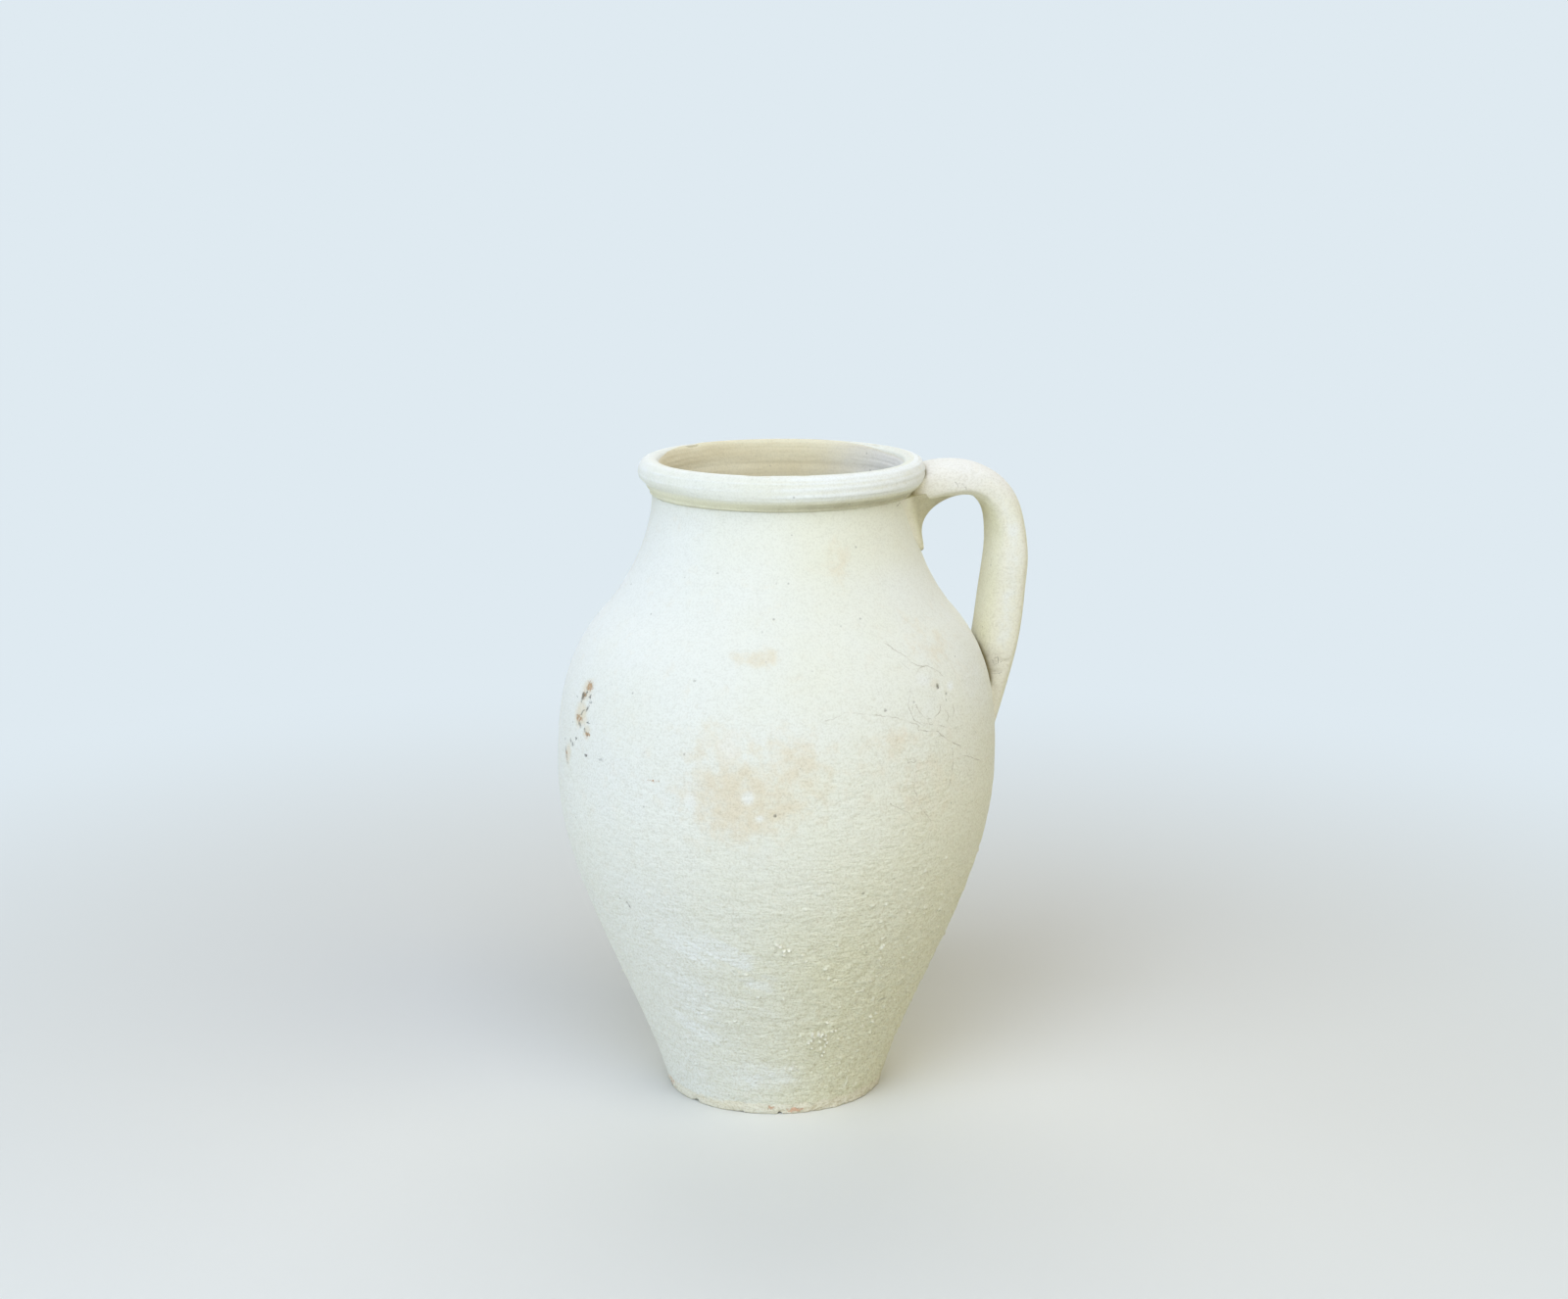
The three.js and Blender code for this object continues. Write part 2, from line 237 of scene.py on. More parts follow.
# The vessel's skin, foot to rim and down inside: radius and height of each curve's control points
vessel = {
    "footRadius": 59.7, "footRound": 1.5, "floorTop": 10.0, "innerFootRadius": 54.0, "thickness": 7.2,
    "foot": (60.8, 6.5), "belly": (119.3, 181.5), "shoulder": (94.6, 267.5), "neck": (69.0, 331.0),
    "lowerEase": [(75.8, 57.2), (119.3, 122.5)],
    "shoulderEase": [(119.3, 216.2), (116.8, 243.7)],
    "neckEase": [(84.7, 278.2), (69.0, 305.0)],
    "outerStep": 1.3, "innerStep": 5.0, "throatStep": 1.6,
}
# The roll's section: flange pressed on the neck, round outside, crest, and the lap inside the throat. Pairs
# are runs along it in mm, or cosines of a turn, between which something comes or fades
rim = {
    "section": [
        (69.0, 331.0), (70.4, 331.8), (70.4, 333.1), (72.6, 334.6), (75.1, 337.1), (76.5, 340.2),
        (76.8, 343.4), (76.2, 346.6), (73.8, 349.2), (70.2, 350.0), (66.7, 348.9), (64.4, 345.6),
        (63.2, 342.0), (62.9, 339.2), (62.9, 337.4), (62.3, 335.6), (61.9, 333.5), (61.8, 331.0),
    ],
    "step": 0.55, "lines": 0.3, "lineCell": (5, 1.05), "wobble": 0.25, "wobbleCell": (7, 60.0),
    "linesLeast": 0.4, "linesFrom": (-0.2, 0.8), "endFade": 3.0, "neckBlend": 14.0,
    "pressed": 1.7, "pressedAt": 8.5, "pressedHalf": 3.4, "pressedFrom": (0.5, 1.0), "chipBare": 0.6,
    "slipEnd": 0.8, "slipFade": 3.4, "slipSides": 3.6, "slipBack": 2.6, "backFrom": (0.3, 0.9),
    "grooveShade": 0.24, "grooveFade": (1.0, 5.0), "chipDirt": 0.4, "bevelShade": 0.42, "bevelShadeAt": 5.4,
    "bevelShadeHalf": 3.4, "bevelShadeFrom": (0.0, 0.95), "bevelShadeLost": 0.6, "bevelShadeGap": (0.82, 1.0),
    "wipedAndLitSide": 0.7, "wallWarm": 0.25, "warm": 0.2, "underWarm": 0.8, "underFade": (5.0, 11.0),
    "thick": 0.4, "litSideHighlight": 0.9, "litSideFrom": (0.2, 0.9), "lineThick": 0.8, "thickFrom": (7.0, 12.0),
}


def wallLine(start, easing, end, samples):
    # a thrown wall's curve between two seams, its points a step apart
    return evenly(bezier([vessel[start], *vessel[easing], vessel[end]], samples), vessel["outerStep"])


lowerLine = wallLine("foot", "lowerEase", "belly", 400)
shoulderLine = wallLine("belly", "shoulderEase", "shoulder", 300)
neckLine = wallLine("shoulder", "neckEase", "neck", 300)
outerLine = np.concatenate([lowerLine, shoulderLine[1:], neckLine[1:]])
outerNormal = outwardOf(outerLine)
outerRun = runOf(outerLine)
bellyRow = len(lowerLine) - 1
shoulderRow = bellyRow + len(shoulderLine) - 1
neckRow = len(outerLine) - 1
innerLine = outerLine - vessel["thickness"] * outerNormal
innerLine[-1] = (vessel["neck"][0] - vessel["thickness"], vessel["neck"][1])

rimShare = np.linspace(0, 1, 600)
rimCurve = [along(values, rimShare) for values in zip(*rim["section"])]
rimLine = evenly(np.stack(rimCurve, 1), rim["step"])
crestRow = int(np.argmax(rimLine[:, 1]))
contour = np.concatenate([outerLine, rimLine[1:crestRow + 1]])


def radiusAt(height):
    # outer radius of the upright wall and rim at a height
    return np.interp(height, contour[:, 1], contour[:, 0])


# Columns stand closer together on the side with most marks
evenTurns = np.linspace(0, 2 * np.pi, drawing["columns"], endpoint=False)
crowdedTurn = math.radians(drawing["crowdedSide"])
turns = (evenTurns - drawing["crowding"] * np.sin(evenTurns - crowdedTurn))[None, :]
nearSide = 0.8  # turn from the handle to the wall's side nearest it in view, in radians

# Thrown clay: depths in mm of what the hands and the years left on the skin. A cell says how many
# cells of a noise go round, and how tall one is
relief = {
    "wobble": 0.45, "wobbleCell": (4, 110.0), "wobbleFine": 0.2, "wobbleFineCell": (9, 42.0),
    "ringsLow": 0.15, "ringsHigh": 0.05, "ringCell": (3, 3.4), "ringTwist": 1.5,
    "peelLow": 0.12, "peelHigh": 0.03, "peelCell": (150, 3.9), "peelNear": 3.2, "peelFrom": (0.5, 1.0),
    "fingerRings": 0.3, "fingerCell": (3, 6.5), "innerGrain": 0.1, "innerCell": (40, 2.4),
    "smoothAbove": 200.0, "sandyBelow": 80.0,
}
# azimuth, height, radius and depth of hollows (positive) and lumps (negative)
hollows = [
    (-101.3, 184.4, 1.6, 0.9), (-52.9, 240.6, 1.8, 0.9), (-50.4, 236.6, 1.5, 0.9),
    (-146.9, 123.4, 1.8, 0.5), (-126.2, 299.5, 1.2, 0.4), (-67.5, 169.2, 1.3, 0.5),
    (-77.2, 138.3, 1.6, 0.8), (-50.1, 135.8, 1.4, 0.5), (-101.8, 107.7, 1.6, -0.76),
    (-99, 106.2, 1.4, -0.68), (-100.6, 103.8, 1.4, -0.64), (-68.1, 98.3, 1.6, -0.44),
    (-66, 94, 1.5, -0.4), (-79, 57.2, 1.6, -0.8), (-80.1, 51.9, 1.5, -0.72),
    (-83.5, 49.3, 1.4, -0.6), (-82, 40, 1.6, -0.76), (-66, 55, 1.3, -0.4),
    (-85.8, 326.5, 1.5, -0.32), (-112, 101, 2.4, -0.28), (-62, 57, 1.3, -0.36),
    (-70, 101, 1.4, -0.36), (-64, 99, 1.3, -0.36), (-72, 95, 1.3, -0.32),
    (40, 90, 2, 0.6), (95, 210, 1.8, 0.8), (150, 140, 2, -0.24),
    (70, 250, 1.6, 0.7), (170, 60, 1.8, -0.24), (120, 40, 1.6, 0.6),
    (60, 75, 1.8, -0.28), (63, 72, 1.4, -0.24),
]
# fine dark points where grit burnt out of the slip: azimuth, height, size, strength
pinholes = [
    (-101.3, 184.4, 1.3, 0.9), (-53.3, 241.2, 2.1, 0.8), (-50.4, 236.6, 1.5, 0.8),
    (-126.2, 299.5, 1.2, 0.7), (-106.4, 273.1, 1.1, 0.6), (-91.5, 255.6, 1.1, 0.6),
    (-124.2, 249.7, 1.2, 0.7), (-138, 277.1, 1.1, 0.5), (-80.2, 274.7, 1.2, 0.6),
    (-71.7, 296.6, 1.1, 0.6), (-96.3, 319.6, 1.2, 0.7), (-72.4, 234.5, 1.3, 0.8),
    (-67.5, 169.2, 1.2, 0.7), (-50.1, 135.8, 1.2, 0.6), (-77.2, 138.3, 1.3, 0.8),
    (-111.3, 207.2, 1.3, 0.4), (-109.6, 206.3, 1.2, 0.4), (-125.6, 195.8, 1.3, 0.4),
    (-121.3, 189.5, 1.3, 0.5), (-119, 180.2, 1.3, 0.5), (-117, 176.4, 1.3, 0.5),
    (-100.9, 106, 1.3, 0.6), (-78, 55.4, 1.3, 0.6), (-80.9, 38.4, 1.3, 0.6),
    (-67, 96.4, 1.2, 0.5), (-98, 104.6, 1.2, 0.6), (-82.4, 47.7, 1.2, 0.5), (95, 210, 1.6, 0.9),
    (70, 250, 1.4, 0.7), (40, 90, 1.6, 0.6), (130, 180, 1.3, 0.7), (20, 150, 1.3, 0.6),
]


def outerRelief(turn, run, height, radius):
    # how far the outer skin stands out of the drawing: slow wobble, throwing rings, orange peel, hollows
    low = 1 - ease(height, relief["sandyBelow"], relief["smoothAbove"])
    depth = relief["wobble"] * clayNoise(turn, run, *relief["wobbleCell"], 1)
    depth = depth + relief["wobbleFine"] * clayNoise(turn, run, *relief["wobbleFineCell"], 2)
    rings = blend(relief["ringsHigh"], relief["ringsLow"], low)
    depth += rings * clayNoise(turn, run + relief["ringTwist"] * turn / np.pi, *relief["ringCell"], 3)
    peel = blend(relief["peelHigh"], relief["peelLow"], low)
    peel = peel * (1 + relief["peelNear"] * low * ease(np.cos(turn + nearSide), *relief["peelFrom"]))
    depth += peel * clayNoise(turn, run, *relief["peelCell"], 6)
    for azimuth, up, size, deep in hollows:
        away = ((offset(turn, azimuth) * radius) ** 2 + (height - up) ** 2) / size ** 2
        depth -= deep * np.exp(-away)
    return depth


def innerRelief(turn, run):
    # finger rings left inside by the throwing hand, and a fine grain
    rings = relief["fingerRings"] * clayNoise(turn, run, *relief["fingerCell"], 8)
    return rings + relief["innerGrain"] * clayNoise(turn, run, *relief["innerCell"], 9)


def carry(line, normal, depth):
    # section line carried round the axis: radius and height moved along the normal by the depth
    radius = line[:, 0, None] + normal[:, 0, None] * depth
    height = line[:, 1, None] + normal[:, 1, None] * depth
    return np.stack([radius * np.cos(turns), radius * np.sin(turns), height], -1)


# Grit in the slip: azimuth, height, half width, half height and crumbs per point of the skin
gritPatches = [
    (-81.5, 48, 8, 13, 0.045), (-100.4, 106, 6, 4.5, 0.09), (-67, 97, 11, 8, 0.05),
    (-64, 56, 8, 6, 0.05), (-98, 72, 20, 8, 0.012), (-122, 66, 16, 9, 0.01),
    (60, 74, 9, 8, 0.025), (150, 140, 7, 6, 0.025), (170, 60, 8, 7, 0.025),
]
# Grit outside the patches: crumbs per point, the heights where it ends, and how many times more there is
# on the handle's near side. Such a crumb's lift is less, and its paler colour shows by the square of its
# lift, partly as a painted highlight on its top
gritSpread = {
    "chance": 0.0012, "upTo": (100.0, 170.0), "footClear": (9.0, 14.0), "lift": (0.8, 1.5),
    "nearTimes": 10.0, "nearFrom": (0.4, 1.0), "thinLift": 0.5, "show": 0.8,
}


def gritOn(line):
    # how far a crumb of grit lifts each point of the skin: nothing at most of them
    height = line[:, 1, None]
    patch = spots(gritPatches, turns, height, line[:, 0, None])
    spread = 1 + gritSpread["nearTimes"] * ease(np.cos(turns + nearSide), *gritSpread["nearFrom"])
    spread = gritSpread["chance"] * spread * (1 - ease(height, *gritSpread["upTo"]))
    draw = np.random.default_rng(41)
    chance = np.maximum(patch, spread) * ease(height, *gritSpread["footClear"])
    lifted = (draw.random(patch.shape) < chance) * draw.uniform(*gritSpread["lift"], patch.shape)
    lifted = lifted * np.where(patch > spread, 1, gritSpread["thinLift"])
    return np.maximum(lifted, np.roll(lifted, 1, 1))


def outerSkin(first, last, grit):
    # rows of the outer wall between two seams
    rows = slice(first, last + 1)
    line = outerLine[rows]
    depth = outerRelief(turns, outerRun[rows, None], line[:, 1, None], line[:, 0, None])
    return carry(line, outerNormal[rows], depth + grit)


def innerSkin(first, last, step):
    # rows of the inner wall between two seams, from the upper one down
    line = evenly(innerLine[first:last + 1][::-1], step)
    run = runOf(innerLine)[last] - runOf(line)[:, None]
    return carry(line, outwardOf(line), innerRelief(turns, run))


# Finish of the wall, each list with azimuth, height, half width, half height and strength
blushes = [
    (-110.5, 192, 30, 23, 0.86), (-99, 204, 32, 25, 0.55),
    (-114, 216, 24, 16, 0.45), (-101, 190, 16, 14, 0.78),
    (-107.4, 261.4, 14, 4, 0.75), (-76.8, 303, 7, 15, 0.45), (-50, 262, 20, 14, 0.4),
    (-75, 205, 28, 18, 0.15), (-60, 190, 24, 24, 0.35), (-162.5, 234, 7, 6, 0.9),
    (-163, 221, 8, 8, 0.95), (-158.5, 214, 4.5, 4, 0.8), (-169, 197, 5, 7, 0.8),
    (-54, 242, 4.2, 4, 0.45), (-70, 217, 16, 9, 0.5), (60, 150, 40, 30, 0.6),
    (150, 235, 26, 18, 0.5),
]
thickSlip = [
    (-112.8, 220, 8, 9.5, 0.5), (-108, 193.6, 4, 4.4, 1.1), (-105.1, 182.8, 3.2, 2.4, 0.75),
    (-122.5, 189, 4, 6, 0.8), (-48, 240.2, 3.4, 3, 0.9), (-58, 246, 7, 4, 0.5),
    (-121.8, 105, 20, 10, 0.8), (-112, 99, 9, 8, 0.8), (-107, 86, 12, 7, 0.7),
    (-58, 233, 8, 7, 0.35), (-132, 60, 16, 24, 0.7), (-108, 24, 28, 9, 0.85),
    (30, 200, 24, 16, 0.5), (130, 90, 20, 14, 0.5),
]
flakes = [
    (-161.4, 236.6, 4.4, 3.4, 1), (-163.2, 231.6, 3, 3.6, 0.85), (-163.7, 219.3, 5, 2.6, 0.95),
    (-157.9, 212.8, 3.2, 2.2, 0.95), (-170.9, 197.4, 3, 4.4, 0.75), (-133.5, 198.2, 6, 1.8, 0.5),
    (110, 120, 4.8, 3.8, 0.9), (113, 113, 3, 3.6, 0.85), (107, 109, 3.6, 2.6, 0.85),
]
sootMarks = [
    (-167.6, 229.1, 2, 1.2, 0.8), (-160.1, 232.1, 2.2, 1.3, 1), (-159, 229.6, 2.2, 1.2, 0.95),
    (-157.1, 230.6, 1.6, 1, 0.75), (-158.4, 219.1, 3, 1.2, 0.9), (-172.4, 204.2, 1.9, 1.3, 0.9),
    (-164.1, 208.1, 2.2, 1.5, 0.85), (-160.6, 208.2, 2, 1.3, 0.6), (-158.1, 201.9, 2.1, 1.6, 0.95),
    (-144.8, 212, 1.9, 1.1, 0.6), (-53, 240.4, 1.5, 1.3, 1), (104, 116, 1.8, 1.4, 0.9),
    (112, 106, 1.6, 1.6, 0.9),
]


# Hairlines in the slip and scratches through it: strength and points of azimuth and height
cracks = [
    (0.42, [(-67.2, 265.8), (-64.6, 261.8), (-61.4, 257.9), (-60.2, 254.4), (-58.3, 253),
            (-55.5, 251.2)]),
    (0.4, [(-89.4, 231.9), (-86.6, 232.6), (-83.6, 235.5), (-78.9, 233.9), (-71.1, 231.3),
           (-66.8, 228.3), (-64.2, 226.1), (-62.4, 223.6)]),
    (0.75, [(-63.4, 222.4), (-60.5, 221), (-56.4, 219.6), (-54.7, 216.5), (-51.8, 212.3),
            (-47.2, 208.4)]), (0.5, [(-48.2, 204.1), (-42.5, 200), (-37.1, 195.9), (-35, 193.3)]),
    (0.6, [(75, 236), (84, 231), (92, 233), (101, 226)]),
]
crazing = [
    (0.75, [(-62.6, 235.5), (-62, 231.4), (-60.1, 227.1), (-57.7, 226.1), (-54.8, 228.6),
            (-53.8, 232.8)]),
    (0.5, [(-60.3, 248.3), (-58.4, 251.6), (-55, 252.1), (-51.1, 248.1), (-50.3, 244.9)]),
    (0.45, [(-59.6, 243.3), (-57.6, 245.7), (-55.2, 245.9)]),
    (0.65, [(-52.6, 230.4), (-51.2, 225.3), (-52.6, 222.8)]),
    (0.55, [(-50.1, 222.9), (-48.8, 227), (-49, 231.6)]), (0.3, [(-63.9, 255.7), (-61.8, 251.5)]),
    (0.8, [(-60.3, 224.9), (-56.9, 222.8), (-52.5, 220.2)]), (0.7, [(-67.1, 206.9), (-64.3, 206)]),
    (0.75, [(-51.1, 209.5), (-50.8, 202.6), (-51.3, 195), (-52.5, 188.2)]),
    (0.5, [(-66.8, 188.9), (-64.3, 184.4)]), (0.6, [(-57, 216.8), (-57.5, 212.5)]),
    (0.5, [(-46, 213.5), (-41.5, 209)]), (0.9, [(-39.8, 327.6), (-38.3, 329.4), (-33.2, 330.2)]),
    (0.45, [(-64, 208), (-64.9, 192.6), (-62.4, 181.1), (-57.7, 171.2), (-58.9, 163.4),
            (-61.2, 158.8)]), (0.4, [(-72.4, 187), (-66.4, 179.8), (-63.8, 173.6)]),
    (0.5, [(-63, 244.2), (-65.3, 235.2), (-64, 227.5), (-60.4, 223)]),
]
scuffs = [
    (1, [(-163.9, 233), (-164.5, 227.9)]), (0.95, [(-161.8, 235.4), (-162.3, 230.8)]),
    (0.95, [(-163.1, 232.6), (-163.8, 228.8)]), (0.85, [(-159.1, 228.6), (-160.5, 223.8)]),
    (0.75, [(-161.7, 225), (-162.9, 220.9)]), (0.8, [(-163.8, 217.4), (-161.6, 215)]),
    (0.7, [(-160.4, 215.8), (-157.8, 212.2)]), (1, [(-168.6, 206.2), (-165, 203.2)]),
    (0.45, [(-172, 200.6), (-169.4, 191.6)]), (0.4, [(-152.6, 201.6), (-149.6, 203.6)]),
    (0.7, [(-147.6, 125.8), (-145.8, 121.2)]), (0.4, [(-60.4, 66.4), (-56.2, 67.6)]),
    (0.7, [(108, 124), (112, 117)]),
]


def spots(patches, turn, height, radius):
    # soft ovals on the wall, the strongest at each point
    total = 0
    for azimuth, up, wide, tall, strength in patches:
        away = (offset(turn, azimuth) * radius / wide) ** 2 + ((height - up) / tall) ** 2
        total = np.maximum(total, strength * np.exp(-away ** 1.5))
    return total


def hairlines(lines, turn, height, radius):
    # signed distance in mm to the nearest line on the unrolled wall, and how strongly it shows there
    far = 99.0
    near = np.full(np.broadcast(turn, height).shape, far)
    show = np.zeros_like(near)
    for strength, line in lines:
        for k, ((fromTurn, fromUp), (toTurn, toUp)) in enumerate(zip(line[:-1], line[1:])):
            x, y = offset(turn, fromTurn) * radius, height - fromUp
            dx, dy = math.radians(toTurn - fromTurn) * radius, toUp - fromUp
            share = (x * dx + y * dy) / (dx * dx + dy * dy)
            inside = (share >= 0 if k == 0 else True) & (share <= 1 if k == len(line) - 2 else True)
            share = np.clip(share, 0, 1)
            away = np.where(inside, np.hypot(x - share * dx, y - share * dy), far)
            closer = away < np.abs(near)
            near = np.where(closer, np.where(x * dy < y * dx, away, -away), near)
            show = np.where(closer, strength, show)
    # it ends 1.8 to 2.6 mm away, past what the noise in the material shifts it
    return near, show * ease(-np.abs(near), -2.6, -1.8)


# Sweeps of the hand that wiped the slip on: patch as above, fall to the right, and cell of the noise
slipWipe = {"patch": (-126.0, 82.0, 44.0, 46.0, 0.75), "slope": 0.45, "cell": (10, 3.4)}


def wipedSlip(turn, height, radius):
    # noise drawn out along lines that fall to the right, inside the patch
    across = height + slipWipe["slope"] * radius * offset(turn, slipWipe["patch"][0])
    sweeps = clayNoise(turn, across, *slipWipe["cell"], 51)
    return spots([slipWipe["patch"]], turn, height, radius) * sweeps


# Tone of the wall: shares, and the heights, or cosines of the turn, between which each comes or fades
wallTone = {
    "warmAt": 0.6, "warmFrom": (-0.35, 1.0), "warmLost": 0.72, "warmFade": (90.0, 240.0),
    "bellyWarm": 0.22, "bellyFrom": (0.6, 1.0), "bellyLow": (120.0, 190.0), "bellyHigh": (210.0, 260.0),
    "neckWarm": 0.25, "neckFrom": (0.0, 0.6), "neckLow": (285.0, 312.0),
    "sand": 0.2, "bellySand": 0.38, "bellySandFade": (190.0, 270.0),
    "footSand": 0.62, "footSandFade": (70.0, 190.0), "nearSand": 0.5, "nearFrom": (0.3, 1.0),
    "ashAt": 0.3, "ashFrom": (-0.1, 1.0),
}


def wallFinish(points, slip, dirtAndShade=0):
    # attributes of a wall's points, from their place on it
    tone = wallTone
    turn = np.arctan2(points[..., 1], points[..., 0])
    radius, height = np.hypot(points[..., 0], points[..., 1]), points[..., 2]
    place = turn, height, radius
    pins = [(azimuth, up, size, size, strength) for azimuth, up, size, strength in pinholes]
    toHandle = np.cos(turn + tone["warmAt"])
    # creamier towards the handle and low down: partly the slip's own tone, partly painted warm shade on the
    # side turned from the main light
    warm = ease(toHandle, *tone["warmFrom"]) * (1 - tone["warmLost"] * ease(height, *tone["warmFade"]))
    belly = tone["bellyWarm"] * ease(toHandle, *tone["bellyFrom"]) * ease(height, *tone["bellyLow"])
    neck = tone["neckWarm"] * ease(height, *tone["neckLow"]) * ease(toHandle, *tone["neckFrom"])
    sand = tone["sand"] + tone["bellySand"] * (1 - ease(height, *tone["bellySandFade"]))
    sand = sand + tone["footSand"] * (1 - ease(height, *tone["footSandFade"]))
    finish = {
        "slip": slip,
        "warm": warm + belly * (1 - ease(height, *tone["bellyHigh"])) + neck,
        "blush": spots(blushes, *place),
        "thick": spots(thickSlip, *place) + wipedSlip(*place),
        "worn": spots(flakes, *place) * slip,
        "soot": spots(sootMarks, *place) * slip,
        "pin": spots(pins, *place) * slip,
        # more sand towards the handle; there its darker pits are partly painted shade
        "sandy": sand * (1 + tone["nearSand"] * ease(toHandle, *tone["nearFrom"])),
        "ash": ease(np.cos(turn + tone["ashAt"]), *tone["ashFrom"]) * (1 - slip),
        "dirtAndShade": dirtAndShade,
    }
    for key, lines in (("crack", cracks), ("craze", crazing), ("scuff", scuffs)):
        finish[key], show = hairlines(lines, *place)
        finish[key + "Show"] = show * slip
    return finish


# Earthenware thrown, dipped in pale slip and fired without glaze. The eye sees a chalky matt skin with
# a sandy grain, white where the slip is thick, cream to buff where the clay shows through, and hairlines
# where it shrank
# The dark dirt colour is also painted shade in crevices, creases and under the rim; the thick-slip white
# also paints highlights on the rim and the strap, and the grit colour on the tops of crumbs
slipFinish = {
    "pale": "e8e8de", "cream": "e5e2c8", "blush": "e1d6bb", "thick": "eeefe9", "grit": "f3f1e6",
    "clay": "e6dfc3", "clayDeep": "ddd3b2", "ash": "dcd9d0", "worn": "c09c74", "soot": "4c473c",
    "pin": "6f6652", "crack": "a3957a", "scuff": "5f563e", "dirtAndShade": "86794c", "sandPit": "e0d9c5",
    # sizes and depths in mm; grit is drawn a little coarse, to show
    "cloudSize": 60.0, "mottleSize": 8.0, "streakSize": 12.0, "flakeSize": 1.7, "wiggleSize": 3.0,
    "peelSize": 4.4, "grainSize": 1.9, "gritSize": 1.1, "speckGap": 13.0,
    "crackWidth": 0.36, "crazeWidth": 0.32, "scuffWidth": 1.25, "roughness": 0.92,
    "peelDepth": 1.1, "grainDepth": 0.8, "gritDepth": 0.06, "crackDepth": 0.13, "flakeDepth": 0.3,
    # a drawn-out noise keeps this share of its scale along the turn of the wheel
    "ringDraw": 0.2, "wipeDraw": 0.45, "wiggle": 2.4, "diffuseRoughness": 0.7, "specular": 0.2,
}


